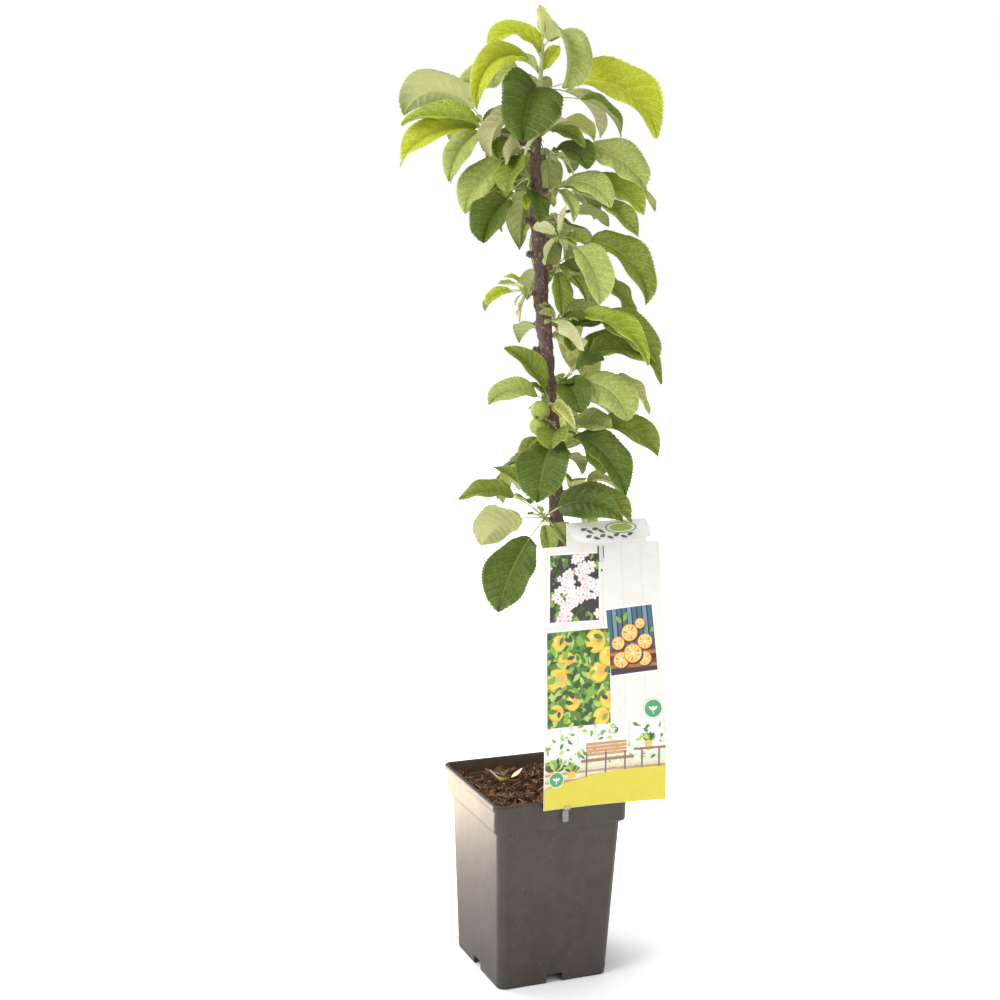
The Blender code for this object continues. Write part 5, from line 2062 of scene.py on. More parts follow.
@dataclass
class Compost:
    """Bark and coco compost: a lumpy bed strewn with shreds, chips, straws and fallen bits."""

    pot: Pot
    edge: float = 184.5 * MM
    mound: float = 5.5 * MM
    lumps: float = 3.0 * MM
    level: float = 187 * MM
    pad: float = 21 * MM
    cells: int = 84
    chips: int = 1500
    shreds: int = 1300
    straws: int = 46
    # Place in the front frame and width, in millimetres, along the curled leaf
    withered_path: tuple[tuple[float, float, float, float], ...] = (
        (-47.4, 22.5, 199.0, 1.2), (-44.0, 17.0, 197.0, 2.4), (-38.5, 10.0, 194.6, 3.2),
        (-33.0, 5.6, 193.2, 9.0), (-28.5, 5.6, 193.2, 12.0), (-24.0, 10.0, 195.2, 8.0),
        (-19.0, 18.0, 197.8, 9.0), (-14.0, 25.0, 200.4, 2.4),
    )

    def half(self) -> float:
        """Half-width of the bed, just clear of the pot's wall."""
        return self.pot.band - self.pot.wall - 0.9 * MM

    def height(self, x: float, y: float) -> float:
        """Height of the bed at a place: a lumpy mound, level under the trunk.

        Args:
            x: Place along X.
            y: Place along Y.

        Returns:
            The height in metres.
        """
        share = max(abs(x), abs(y)) / self.pot.band
        mound = self.edge + self.mound * max(0.0, 1 - share ** 2)
        mound += self.lumps * noise(Vector((x, y, 0.3)) * 48) * (1 - share ** 6)
        foot = from_front(TRUNK.centre(TRUNK.foot))
        off = hypot(x - foot.x, y - foot.y)
        level = min(1.0, max(0.0, (off - self.pad) / (0.8 * self.pad)))
        return self.level + (mound - self.level) * level

    def bed(self) -> Skin:
        """Points and faces of the bed, with skirts that go down into the pot.

        Returns:
            Points and faces.
        """
        half = self.half()
        bend = self.pot.corner
        n = self.cells
        points = []
        for j in range(n + 1):
            for i in range(n + 1):
                x = half * (2 * i / n - 1)
                y = half * (2 * j / n - 1)
                over_x = abs(x) - half + bend
                over_y = abs(y) - half + bend
                corner = hypot(max(0, over_x), max(0, over_y))
                if corner > bend - self.pot.wall:
                    pull = (bend - self.pot.wall) / corner
                    x = copysign(half - bend + over_x * pull, x)
                    y = copysign(half - bend + over_y * pull, y)
                rough = 1.5 * MM * noise(Vector((x, y, 1.7)) * 210)
                rough += 0.7 * MM * noise(Vector((x, y, 4.2)) * 520)
                points.append(Vector((x, y, self.height(x, y) - 0.6 * MM + rough)))
        faces = [(j * (n + 1) + i, j * (n + 1) + i + 1, (j + 1) * (n + 1) + i + 1, (j + 1) * (n + 1) + i)
                 for j in range(n) for i in range(n)]
        rim = list(range(n + 1))
        rim += [j * (n + 1) + n for j in range(1, n + 1)]
        rim += [n * (n + 1) + i for i in range(n - 1, -1, -1)]
        rim += [j * (n + 1) for j in range(n - 1, 0, -1)]
        previous = rim
        narrow = (self.pot.foot - self.pot.wall) / self.pot.body
        for depth, share in ((12 * MM, 0.965), (150 * MM, narrow)):
            ring = []
            for k in rim:
                p = points[k]
                ring.append(len(points))
                points.append(Vector((p.x * share, p.y * share, self.edge - depth)))
            for k in range(len(rim)):
                m = (k + 1) % len(rim)
                faces.append((previous[k], ring[k], ring[m], previous[m]))
            previous = ring
        faces.append(tuple(reversed(previous)))
        return points, faces

    def shard(self, place: Vector, long: float, wide: float, thick: float, draw: random.Random) -> Skin:
        """A rough splinter of a few faces, lying any way.

        Args:
            place: Its middle.
            long: Its length.
            wide: Its width.
            thick: Its thickness.
            draw: Random draws.

        Returns:
            Points and faces.
        """
        turn = Quaternion((0, 0, 1), draw.uniform(0, tau)) @ Quaternion((0, 1, 0), draw.gauss(0, 0.3))
        turn = turn @ Quaternion((1, 0, 0), draw.uniform(-0.6, 0.6))
        rings = []
        bow = draw.uniform(-0.16, 0.16) * long
        for t in (0.0, 0.22, 0.55, 0.82, 1.0):
            size = sin(pi * (0.13 + 0.74 * t)) ** 0.5 * draw.uniform(0.75, 1.15)
            ring = []
            for k in range(5):
                a = tau * k / 5 + 0.4 * t
                across = 0.5 * wide * size * cos(a) + bow * (1 - (2 * t - 1) ** 2)
                ring.append(place + turn @ Vector(((t - 0.5) * long, across, 0.5 * thick * size * sin(a))))
            rings.append(ring)
        return loft(rings)

    def strew(self, name: str, count: int, sizes: tuple, looks: tuple, seed: int) -> None:
        """Strews shards over the bed.

        Args:
            name: The piece's name.
            count: Number of shards.
            sizes: Range of length, share of width and share of thickness.
            looks: Finishes to draw from.
            seed: Seed of the random draws.
        """
        draw = random.Random(seed)
        half = self.half()
        foot = from_front(TRUNK.centre(TRUNK.foot))
        shape = Shape(name)
        for _ in range(count):
            long = draw.uniform(*sizes[0]) * MM
            reach = half - 0.42 * long
            x, y = draw.uniform(-reach, reach), draw.uniform(-reach, reach)
            if hypot(x - foot.x, y - foot.y) < 13 * MM + 0.3 * long:
                continue
            wide = long * draw.uniform(*sizes[1])
            thick = max(0.5 * MM, wide * draw.uniform(*sizes[2]))
            place = Vector((x, y, self.height(x, y) + draw.uniform(-1.0, 3.4) * MM))
            shape.add(*self.shard(place, long, wide, thick, draw), draw.choice(looks).make())
        shape.build("soil", sharp=40, tidy=True)

    def withered(self) -> Skin:
        """Points and faces of a withered leaf, curled up at both ends.

        Returns:
            Points and faces.
        """
        table = np.array(self.withered_path)
        shares = np.linspace(0, 1, 25)
        stops = np.linspace(0, 1, len(table))
        spots = np.stack([np.interp(shares, stops, table[:, k]) for k in range(4)], -1) * MM
        soft = spots.copy()
        soft[1:-1] = (spots[:-2] + spots[1:-1] + spots[2:]) / 3
        rings = []
        for share, (x, y, z, wide) in zip(shares, soft):
            tilt = smooth_step(0.5, 0.85, share)
            across = Vector((0.25, -0.5, 0.83)).lerp(Vector((0.66, -0.5, 0.15)), tilt) * 0.5 * wide
            thin = Vector((0.0, 0.8, 0.5)).lerp(Vector((0.3, 0.3, 0.9)), tilt) * 0.3 * MM
            spot = Vector((x, y, z))
            rings.append([from_front(p) for p in (spot - across, spot - thin, spot + across, spot + thin)])
        return loft(rings)

    def fallen(self) -> None:
        """A withered leaf, a dried stalk and bleached petals on the bed."""
        straw = CompostFinish("dry_straw", (0.52, 0.42, 0.20), (0.62, 0.54, 0.32))
        yellow = CompostFinish("withered_leaf", (0.78, 0.60, 0.03), (0.80, 0.68, 0.16))
        petal = CompostFinish("bleached_petal", (0.76, 0.68, 0.42), (0.80, 0.76, 0.58))
        shape = Shape("fallen_bits")
        blades = Foliage(Growth({}, []))
        spots = (
            (-36, 7, 20, 25, 1, 13, 10, petal), (-36, 4, 330, 20, 3, 22, 6, straw),
            (34, 24, 15, 12, 2, 16, 6, petal), (44, -8, 300, 10, 2, 14, 5, straw),
        )
        for x, y, turn, rise, stalk, blade, wide, look in spots:
            leaf = Leaf(turn, rise, stalk, blade, wide, 60, 10, 34)
            spot = Vector((x * MM, y * MM, 0))
            spot.z = self.height(spot.x, spot.y) + 1.4 * MM
            root = FRONT.inverted() @ spot
            shape.add(*blades.sliver(leaf, root), look.make())
        points, faces = self.withered()
        middle = range(6, 18)
        shape.add(points, faces, [(yellow if n // 4 in middle else petal).make() for n in range(len(faces))])
        draw = random.Random(9)
        reach = self.half() - 9 * MM
        for _ in range(self.straws):
            spot = Vector((draw.uniform(-reach, reach), draw.uniform(-reach, reach), 0))
            spot.z = self.height(spot.x, spot.y) + draw.uniform(1.2, 3.0) * MM
            long = draw.uniform(9, 22) * MM
            shape.add(*self.shard(spot, long, 0.9 * MM, 0.7 * MM, draw), straw.make())
        shape.build("soil", sharp=50, tidy=True)

    def build(self) -> None:
        """Makes the bed and everything that lies on it."""
        deep = CompostFinish("compost_deep", (0.010, 0.005, 0.003), (0.036, 0.018, 0.009))
        browns = (
            CompostFinish("bark_dark", (0.030, 0.014, 0.007), (0.075, 0.036, 0.018)),
            CompostFinish("bark_red", (0.105, 0.050, 0.022), (0.185, 0.092, 0.042)),
            CompostFinish("bark_brown", (0.085, 0.040, 0.018), (0.155, 0.080, 0.038)),
            CompostFinish("coco_tan", (0.22, 0.125, 0.056), (0.33, 0.205, 0.10)),
        )
        shape = Shape("compost_bed")
        shape.add(*self.bed(), deep.make())
        shape.build("soil", ("soil",), sharp=80)
        mixed = browns[:3] + browns[:1]
        self.strew("bark_chips", self.chips, ((4, 15), (0.3, 0.6), (0.4, 0.8)), mixed, 31)
        self.strew("coco_shreds", self.shreds, ((8, 25), (0.06, 0.12), (0.6, 0.9)), browns, 32)
        self.fallen()


class Ink(Enum):
    """Inks of the label, by plain name."""

    BOARD = (0.71, 0.69, 0.65)
    PLANK = (0.60, 0.58, 0.54)
    WHITE = (0.84, 0.84, 0.82)
    LIME = (0.60, 0.52, 0.04)
    BADGE = (0.06, 0.30, 0.11)
    DUSK = (0.020, 0.050, 0.085)
    SKY = (0.050, 0.125, 0.185)
    HAZE = (0.16, 0.26, 0.32)
    ORANGE = (0.78, 0.24, 0.02)
    AMBER = (0.84, 0.44, 0.06)
    CREAM = (0.84, 0.68, 0.34)
    EARTH = (0.13, 0.050, 0.022)
    UMBER = (0.055, 0.022, 0.012)
    NIGHT = (0.035, 0.032, 0.030)
    PETAL = (0.78, 0.66, 0.67)
    BLOOM = (0.86, 0.80, 0.79)
    ROSE = (0.62, 0.30, 0.36)
    LEAF = (0.075, 0.19, 0.030)
    GRASS = (0.20, 0.36, 0.045)
    SPRING = (0.42, 0.52, 0.12)
    MOSS = (0.028, 0.085, 0.018)
    RIPE = (0.56, 0.42, 0.035)
    FRUIT = (0.74, 0.55, 0.07)
    BLUSH = (0.80, 0.36, 0.10)
    TIMBER = (0.52, 0.26, 0.10)
    OAK = (0.34, 0.15, 0.055)
    SLATE = (0.14, 0.125, 0.12)
    MIST = (0.60, 0.68, 0.56)
    GLARE = (0.80, 0.84, 0.78)

    def make(self) -> Material:
        """The ink's material."""
        return InkFinish(f"ink_{self.name.lower()}", self.value, shade(self.value, 0.9)).make()


@dataclass
class LabelCard:
    """Printed card: a bent sheet with a narrower neck, a flap folded forward, and a generic print."""

    back: float = 78.0 * MM
    thick: float = 0.8 * MM
    foot: float = 192.8 * MM
    shoulder: float = 457 * MM
    top: float = 479 * MM
    left: tuple[float, float] = (-25.5, -29.0)
    right: tuple[float, float] = (107.0, 100.0)
    neck: tuple[float, float] = (-3.0, 86.0)
    bend_from: float = 242 * MM
    lean: float = 14 * MM
    twist: float = 12 * MM
    curl: float = 3 * MM
    flap_long: float = 27 * MM
    flap_drop: float = radians(37)
    layer: float = 0.06 * MM

    def point(self, u: float, v: float) -> Vector:
        """A place in the middle of the sheet's thickness.

        Args:
            u: Share of the way from left to right.
            v: 0 at the foot, 1 at the shoulder, 2 at the fold and 3 at the flap's free edge.

        Returns:
            The place.
        """
        body = min(v, 1.0)
        left = self.left[0] + (self.left[1] - self.left[0]) * body
        right = self.right[0] + (self.right[1] - self.right[0]) * body
        x = (left + (right - left) * u) * MM
        z = self.foot + (self.shoulder - self.foot) * body
        z += (self.top - self.shoulder) * min(max(v - 1, 0.0), 1.0)
        high = max(0.0, (z - self.bend_from) / (self.top - self.bend_from))
        lean = self.lean * high ** 1.5 + self.twist * high ** 2 * (u - 0.2)
        y = -self.back + lean - self.curl * (2 * u - 0.36) ** 2 * (1 - 0.5 * high)
        if v > 2:
            across = (u * (self.right[1] - self.left[1]) + self.left[1] - self.neck[0]) / (
                self.neck[1] - self.neck[0])
            reach = (v - 2) * self.flap_long * (1 - 0.14 * (2 * across - 1) ** 4)
            y -= reach * cos(self.flap_drop)
            z -= reach * sin(self.flap_drop)
            x += (0.5 - u) * 10 * MM * (v - 2) ** 3
        return Vector((x, y, z))

    def normal(self, u: float, v: float) -> Vector:
        """Direction out of the card's printed side.

        Args:
            u: Share of the way from left to right.
            v: 0 at the foot, 1 at the shoulder, 2 at the fold and 3 at the flap's free edge.

        Returns:
            The direction.
        """
        flow = self.point(u, v + 0.01) - self.point(u, v - 0.01)
        run = self.point(u + 0.01, v) - self.point(u - 0.01, v)
        return run.cross(flow).normalized()

    def sheet(self) -> Skin:
        """Points and faces of the closed sheet.

        Returns:
            Points and faces.
        """
        wide = self.right[1] - self.left[1]
        neck = [(edge - self.left[1]) / wide for edge in self.neck]
        columns = [neck[0] * k / 5 for k in range(5)]
        columns += [neck[0] + (neck[1] - neck[0]) * k / 16 for k in range(17)]
        columns += [neck[1] + (1 - neck[1]) * k / 4 for k in range(1, 5)]
        rows = [k / 32 for k in range(33)] + [1.25, 1.5, 1.75, 1.9, 1.97, 2.0]
        rows += [2.02, 2.06] + [2.1 + 0.9 * k / 12 for k in range(13)]
        first, last = 5, 21
        cells = {(i, j) for j in range(len(rows) - 1) for i in range(len(columns) - 1)
                 if rows[j] < 1 or first <= i < last}
        points = []
        index = {}
        for side in (-0.5, 0.5):
            for j, v in enumerate(rows):
                for i, u in enumerate(columns):
                    index[side, i, j] = len(points)
                    points.append(self.point(u, v) + side * self.thick * self.normal(u, v))
        faces = []
        for i, j in sorted(cells):
            ring = ((i, j), (i + 1, j), (i + 1, j + 1), (i, j + 1))
            faces.append(tuple(index[0.5, a, b] for a, b in ring))
            faces.append(tuple(index[-0.5, a, b] for a, b in reversed(ring)))
            sides = zip(((i, j - 1), (i + 1, j), (i, j + 1), (i - 1, j)), ((0, 1), (1, 2), (2, 3), (3, 0)))
            for near, (a, b) in sides:
                if near not in cells:
                    p, q = ring[a], ring[b]
                    faces.append((index[0.5, p[0], p[1]], index[-0.5, p[0], p[1]],
                                  index[-0.5, q[0], q[1]], index[0.5, q[0], q[1]]))
        used = sorted({k for face in faces for k in face})
        where = {k: n for n, k in enumerate(used)}
        return [points[k] for k in used], [tuple(where[k] for k in face) for face in faces]

    def build(self) -> None:
        """Makes the sheet and its print."""
        shape = Shape("card_sheet")
        shape.add(*self.sheet(), Ink.BOARD.make())
        shape.build("card", ("label_card",), sharp=50, tidy=True)
        Print(self).build()


def turned(x: float, y: float, turn: float, px: float, py: float) -> tuple[float, float]:
    """A point of a figure that stands at x, y and is turned."""
    return x + px * cos(turn) - py * sin(turn), y + px * sin(turn) + py * cos(turn)


@dataclass
class Print:
    """The label's print: flat shapes laid on the card in layers, in millimetres.

    A window is a picture on the card: what is laid in it shares its tilt and is cut off at its edges.
    """

    card: LabelCard
    wide: float = 130.0
    tall: float = 264.0
    cell: float = 7.0
    rim: float = 1.6

    def __post_init__(self) -> None:
        """Starts with no shape laid, on the whole card."""
        self.shape = Shape("card_print")
        self.draw = random.Random(14)
        self.flap = False
        self.window = (0.0, 0.0, self.wide, self.tall, 0.0)

    def lay(self, outline: list[tuple[float, float]], ink: Ink, layer: float) -> None:
        """Lays one filled outline in the window.

        Args:
            outline: Points in millimetres from the window's lower left corner.
            ink: Its ink.
            layer: Its layer, from 1 upwards.
        """
        x0, y0, wide, tall, tilt = self.window
        cut = []
        for x, y in outline:
            x, y = min(max(x, 0.0), wide), min(max(y, 0.0), tall)
            spot = turned(x0, y0, tilt, x, y)
            if not cut or min(dist(spot, cut[-1]), dist(spot, cut[0])) > 0.05:
                cut.append(spot)
        area = 0.5 * abs(sum(a * d - b * c for (a, b), (c, d) in zip(cut, cut[1:] + cut[:1])))
        if len(cut) < 3 or area < 0.3:
            return
        work = bmesh.new()
        work.faces.new([work.verts.new((x, y, 0)) for x, y in cut])
        bmesh.ops.triangulate(work, faces=work.faces)
        for _ in range(4):
            long = [e for e in work.edges if e.calc_length() > self.cell]
            if not long:
                break
            bmesh.ops.subdivide_edges(work, edges=long, cuts=1)
            bmesh.ops.triangulate(work, faces=work.faces)
        work.verts.index_update()
        side = -1 if self.flap else 1
        height = side * (0.5 * self.card.thick + layer * self.card.layer)
        points = []
        for vert in work.verts:
            u = vert.co.x / self.wide
            v = 2 + vert.co.y / (self.card.flap_long / MM) if self.flap else vert.co.y / self.tall
            points.append(self.card.point(u, v) + self.card.normal(u, v) * height)
        faces = [tuple(vert.index for vert in face.verts) for face in work.faces]
        work.free()
        a, b, c = (points[k] for k in faces[0])
        outward = side * self.card.normal(0.5, 2.5 if self.flap else 0.5)
        if (b - a).cross(c - a).dot(outward) < 0:
            faces = [tuple(reversed(face)) for face in faces]
        self.shape.add(points, faces, ink.make())

    def box(self, x: float, y: float, wide: float, tall: float, ink: Ink, layer: float,
            slant: float = 0.0) -> None:
        """Lays a rectangle whose far end is raised by a slant."""
        self.lay([(x, y), (x + wide, y + slant), (x + wide, y + slant + tall), (x, y + tall)], ink, layer)

    def blob(self, x: float, y: float, rx: float, ry: float, ink: Ink, layer: float, turn: float = 0.0,
             sides: int = 22) -> None:
        """Lays an ellipse.

        Args:
            x: Place across the window.
            y: Place up the window.
            rx: Half of its width.
            ry: Half of its height.
            ink: Its ink.
            layer: Its layer.
            turn: Turn in radians.
            sides: Number of its points.
        """
        outline = []
        for k in range(sides):
            a = tau * k / sides
            outline.append(turned(x, y, turn, rx * cos(a), ry * sin(a)))
        self.lay(outline, ink, layer)

    def leaf(self, x: float, y: float, long: float, turn: float, ink: Ink, layer: float) -> None:
        """Lays a pointed leaf that starts at a place.

        Args:
            x: Place across the window.
            y: Place up the window.
            long: Its length.
            turn: Turn in radians.
            ink: Its ink.
            layer: Its layer.
        """
        outline = []
        for hand in (1, -1):
            for k in range(7):
                t = k / 7 if hand > 0 else 1 - k / 7
                half = hand * 0.24 * long * sin(pi * t ** 0.8)
                outline.append(turned(x, y, turn, t * long, half))
        self.lay(outline, ink, layer)

    def scatter(self, count: int, sizes: tuple[float, float], inks: tuple[Ink, ...], layer: float) -> None:
        """Strews leaves over the window, in six thin layers.

        Args:
            count: Number of leaves.
            sizes: Least and most length.
            inks: Inks to draw from.
            layer: Its layer.
        """
        _, _, wide, tall, _ = self.window
        for k in range(count):
            self.leaf(self.draw.uniform(-2, wide), self.draw.uniform(-2, tall), self.draw.uniform(*sizes),
                      self.draw.uniform(0, tau), self.draw.choice(inks), layer + 0.3 * (k % 6))

    def open_window(self, x: float, y: float, wide: float, tall: float, ink: Ink, tilt: float) -> None:
        """Lays a white rim and a picture's ground, and cuts what follows to it.

        Args:
            x: Left edge on the card.
            y: Lower edge on the card.
            wide: Width of the picture.
            tall: Height of the picture.
            ink: Ink of its ground.
            tilt: Turn in radians.
        """
        self.window = (x - self.rim, y - self.rim, wide + 2 * self.rim, tall + 2 * self.rim, tilt)
        self.box(0, 0, wide + 2 * self.rim, tall + 2 * self.rim, Ink.WHITE, 1)
        self.window = (x, y, wide, tall, tilt)
        self.box(0, 0, wide, tall, ink, 2)

    def flower(self, x: float, y: float, size: float, layer: float) -> None:
        """Lays one five-petalled flower with shaded petals.

        Args:
            x: Place across the window.
            y: Place up the window.
            size: Its size.
            layer: Its layer.
        """
        first = self.draw.uniform(0, tau)
        light = self.draw.choice((Ink.PETAL, Ink.BLOOM, Ink.WHITE))
        for k in range(5):
            a = first + tau * k / 5
            cx, cy = x + size * 0.6 * cos(a), y + size * 0.6 * sin(a)
            self.blob(cx, cy, size * 0.52, size * 0.42, Ink.ROSE, layer, a, sides=12)
            self.blob(cx + 0.1, cy + 0.12, size * 0.46, size * 0.36, light, layer + 0.4, a, sides=12)
        self.blob(x, y, size * 0.26, size * 0.26, self.draw.choice((Ink.SPRING, Ink.CREAM, Ink.ROSE)),
                  layer + 0.8, sides=8)

    def flowers(self) -> None:
        """A picture of crowded flowers among leaves."""
        _, _, wide, tall, _ = self.window
        self.scatter(150, (6, 12), (Ink.MOSS, Ink.LEAF, Ink.NIGHT, Ink.GRASS, Ink.NIGHT), 3)
        for k in range(84):
            spread = self.draw.gauss(0, 0.13)
            along = self.draw.random()
            self.flower(wide * (0.12 + 0.76 * along + spread), tall * (0.1 + 0.8 * along - 1.6 * spread),
                        self.draw.uniform(3.0, 5.4), 5 + 1.3 * (k % 4))

    def slices(self) -> None:
        """A picture of cut round fruit heaped on a table before a dark wall."""
        _, _, wide, tall, _ = self.window
        for k in range(9):
            ink = (Ink.SKY, Ink.HAZE, Ink.SKY)[k % 3]
            self.box(k * wide / 9 + 0.6, 0.36 * tall, wide / 9 - 1.6, tall, ink, 3)
        for k in range(6):
            self.box(0, 0.36 * tall - 4.2 * k, wide, 3.6, (Ink.EARTH, Ink.OAK, Ink.UMBER)[k % 3], 4, -2.5)
        # Middle and radius of each, as shares of the picture
        heap = ((0.24, 0.22, 0.17), (0.74, 0.2, 0.15), (0.5, 0.3, 0.2), (0.2, 0.48, 0.14), (0.78, 0.46, 0.16),
                (0.46, 0.62, 0.18), (0.7, 0.74, 0.11))
        for k, (cx, cy, share) in enumerate(heap):
            self.slice(wide * cx, tall * cy, wide * share, 5 + 1.2 * k)
        for cx, cy, turn in ((0.3, 0.78, 2.2), (0.36, 0.8, 1.2), (0.9, 0.6, 0.5)):
            self.leaf(wide * cx, tall * cy, 10, turn, Ink.GRASS, 14)

    def slice(self, x: float, y: float, r: float, layer: float) -> None:
        """Lays one cut fruit: shadow, rind, pith and segments.

        Args:
            x: Place across the window.
            y: Place up the window.
            r: Its radius.
            layer: Its layer.
        """
        self.blob(x + 0.1 * r, y - 0.14 * r, r * 1.05, r, Ink.UMBER, layer, sides=26)
        self.blob(x, y, r, r * 0.97, Ink.ORANGE, layer + 0.3, sides=30)
        self.blob(x, y, r * 0.88, r * 0.85, Ink.CREAM, layer + 0.5, sides=26)
        first = self.draw.uniform(0, 1)
        for k in range(9):
            a = first + tau * k / 9
            inner, outer = 0.12 * r, 0.76 * r
            spots = [(inner, 0.0), (outer, -0.27), (1.05 * outer, 0.0), (outer, 0.27)]
            self.lay([(x + d * cos(a + b), y + d * sin(a + b)) for d, b in spots],
                     Ink.AMBER if k % 3 else Ink.ORANGE, layer + 0.7)
        self.blob(x - 0.3 * r, y + 0.42 * r, r * 0.2, r * 0.1, Ink.CREAM, layer + 0.9, 0.6, sides=10)

    def orchard(self) -> None:
        """A picture of round yellow fruit that hangs among leaves."""
        _, _, wide, tall, _ = self.window
        self.scatter(300, (7, 13), (Ink.MOSS, Ink.GRASS, Ink.LEAF, Ink.MOSS, Ink.SPRING), 3)
        for k in range(10):
            px = wide * (0.2 + 0.58 * (k % 2) + 0.14 * (k // 2 % 2)) + self.draw.uniform(-5, 5)
            py = tall * (0.1 + 0.2 * (k // 2)) + self.draw.uniform(-6, 6)
            self.fruit(px, py, self.draw.uniform(7.6, 11.5), 5 + 1.4 * (k % 5))
        self.scatter(70, (7, 12), (Ink.GRASS, Ink.LEAF, Ink.MOSS, Ink.SPRING), 12)

    def fruit(self, x: float, y: float, r: float, layer: float) -> None:
        """Lays one round fruit in five tones.

        Args:
            x: Place across the window.
            y: Place up the window.
            r: Its radius.
            layer: Its layer.
        """
        tones = ((0, 0, 1.0, Ink.RIPE), (0.05, 0.08, 0.9, Ink.FRUIT), (0.3, 0.16, 0.58, Ink.AMBER),
                 (0.4, 0.2, 0.36, Ink.BLUSH), (-0.32, 0.42, 0.17, Ink.CREAM))
        for step, (dx, dy, share, ink) in enumerate(tones):
            self.blob(x + dx * r, y + dy * r, share * r, share * r * 1.08, ink, layer + 0.25 * step, sides=20)
        self.leaf(x, y + r, 0.9 * r, self.draw.uniform(0.2, 2.6), Ink.GRASS, layer + 1.2)

    def terrace(self) -> None:
        """A strip with a hedge, a bench, a table, planks and tubs of greenery."""
        _, _, wide, tall, _ = self.window
        self.box(0, 0, wide, tall, Ink.MIST, 1)
        for k in range(7):
            self.box(wide * k / 7, 0.45 * tall, wide / 7 - 3, tall, Ink.GLARE, 1.4)
        self.scatter(240, (4, 8), (Ink.GRASS, Ink.LEAF, Ink.GLARE, Ink.SPRING, Ink.MIST, Ink.MIST), 2)
        for k in range(8):
            self.box(0, 2.6 * k - 2, wide, 2.1, (Ink.PLANK, Ink.CREAM, Ink.TIMBER)[k % 3], 4, 1.5)
        for k in range(4):
            self.box(0.34 * wide, 0.46 * tall + 3.6 * k, 0.34 * wide, 2.8, Ink.TIMBER, 5, 0.8)
        self.box(0.3 * wide, 0.36 * tall, 0.44 * wide, 3.0, Ink.OAK, 5.4, 1.0)
        self.box(0.76 * wide, 0.5 * tall, 0.24 * wide, 2.6, Ink.OAK, 5.4, 0.6)
        for share in (0.34, 0.5, 0.66, 0.8, 0.94):
            self.box(share * wide, 0.1 * tall, 1.7, 0.42 * tall, Ink.SLATE, 6)
        for share, grow in ((0.08, 1.2), (0.22, 0.9), (0.86, 0.8)):
            px = share * wide
            base = 0.56 * tall if share > 0.8 else 0.12 * tall
            self.lay([(px - 5 * grow, base + 9 * grow), (px - 4 * grow, base), (px + 4 * grow, base),
                      (px + 5 * grow, base + 9 * grow)], Ink.AMBER, 6.5)
            for k in range(16):
                turn = 0.3 + 2.5 * k / 15
                self.leaf(px, base + 8 * grow, self.draw.uniform(7, 12) * grow, turn,
                          (Ink.MOSS, Ink.GRASS, Ink.SPRING)[k % 3], 7 + 0.3 * (k % 4))

    def badge(self, x: float, y: float, r: float) -> None:
        """A round green badge with a sprig of two leaves.

        Args:
            x: Place across the window.
            y: Place up the window.
            r: Its radius.
        """
        self.blob(x, y, r + 0.7, r + 0.7, Ink.WHITE, 13, sides=30)
        self.blob(x, y, r, r, Ink.BADGE, 14, sides=30)
        self.box(x - 0.35, y - 0.62 * r, 0.7, 0.97 * r, Ink.WHITE, 15)
        for turn in (0.65, 2.5):
            self.leaf(x, y - 0.15 * r, 0.66 * r, turn, Ink.WHITE, 15)

    def lime_band(self) -> None:
        """The lime foot of the card, with a curved upper edge."""
        outline = [(0.4, 0.4), (self.wide - 0.4, 0.4)]
        for k in range(25):
            x = self.wide - 0.4 - k * (self.wide - 0.8) / 24
            outline.append((x, 36 - 14 * ((x / self.wide - 0.86) / 0.86) ** 2))
        self.lay(outline, Ink.LIME, 10)

    def build(self) -> None:
        """Lays the whole print."""
        whole = self.window
        for k in range(1, 6):
            self.box(self.wide * k / 6, 40, 0.5, self.tall - 41, Ink.PLANK, 1)
        self.window = (1, 24, self.wide - 2, 60, 0.0)
        self.terrace()
        self.open_window(6, 190, 54, 66, Ink.NIGHT, -0.02)
        self.flowers()
        self.open_window(72, 132, 50, 66, Ink.DUSK, 0.06)
        self.slices()
        self.open_window(3, 84, 68, 96, Ink.LEAF, 0.0)
        self.orchard()
        self.window = whole
        self.lime_band()
        self.badge(116, 96, 9)
        self.badge(13, 31, 7.5)
        self.slot()
        self.lay_flap()
        self.shape.build("card", sharp=40)

    def slot(self) -> None:
        """The hanging slot under the flap and the punched hole below it, laid as ink: their dark strips and
        dot are painted shade that stands for the openings.
        """
        # Painted shade: a grey field with a dark strip and a slate strip at its sides draws the slot's shaded
        # opening; the dark dot draws the hole's shade.
        self.box(61, 246, 6.4, 16, Ink.PLANK, 3)
        self.box(60.4, 246, 1.5, 16, Ink.NIGHT, 4)
        self.box(66.4, 250, 1.2, 12, Ink.SLATE, 4)
        self.blob(64.5, 238, 1.0, 1.2, Ink.NIGHT, 3, sides=12)

    def lay_flap(self) -> None:
        """The folded flap: a pale field, partly its white print and partly painted light, with an oval and a
        row of leaves.
        """
        self.flap = True
        self.window = (0.0, 0.0, self.wide, self.card.flap_long / MM, 0.0)
        # White field: partly the flap's pale print, partly painted light that brightens the flap where the
        # leaf above shades it.
        self.box(26.8, 0.5, 88, self.card.flap_long / MM - 1.4, Ink.WHITE, 0.6)
        self.blob(84, 10, 18, 7.6, Ink.GRASS, 1.4, sides=32)
        self.blob(84, 10, 16.2, 6.4, Ink.WHITE, 2, sides=32)
        self.blob(84, 10, 13, 4.9, Ink.SPRING, 2.6, sides=28)
        for k in range(7):
            self.leaf(40 + 8 * k, 20.5, 8.5, 0.35 if k % 2 else -0.35, Ink.SLATE, 1.4)
        for k in range(4):
            self.leaf(38 + 6.5 * k, 10.5, 8.5, 0.7 if k % 2 else -0.2, Ink.SLATE, 1.4)


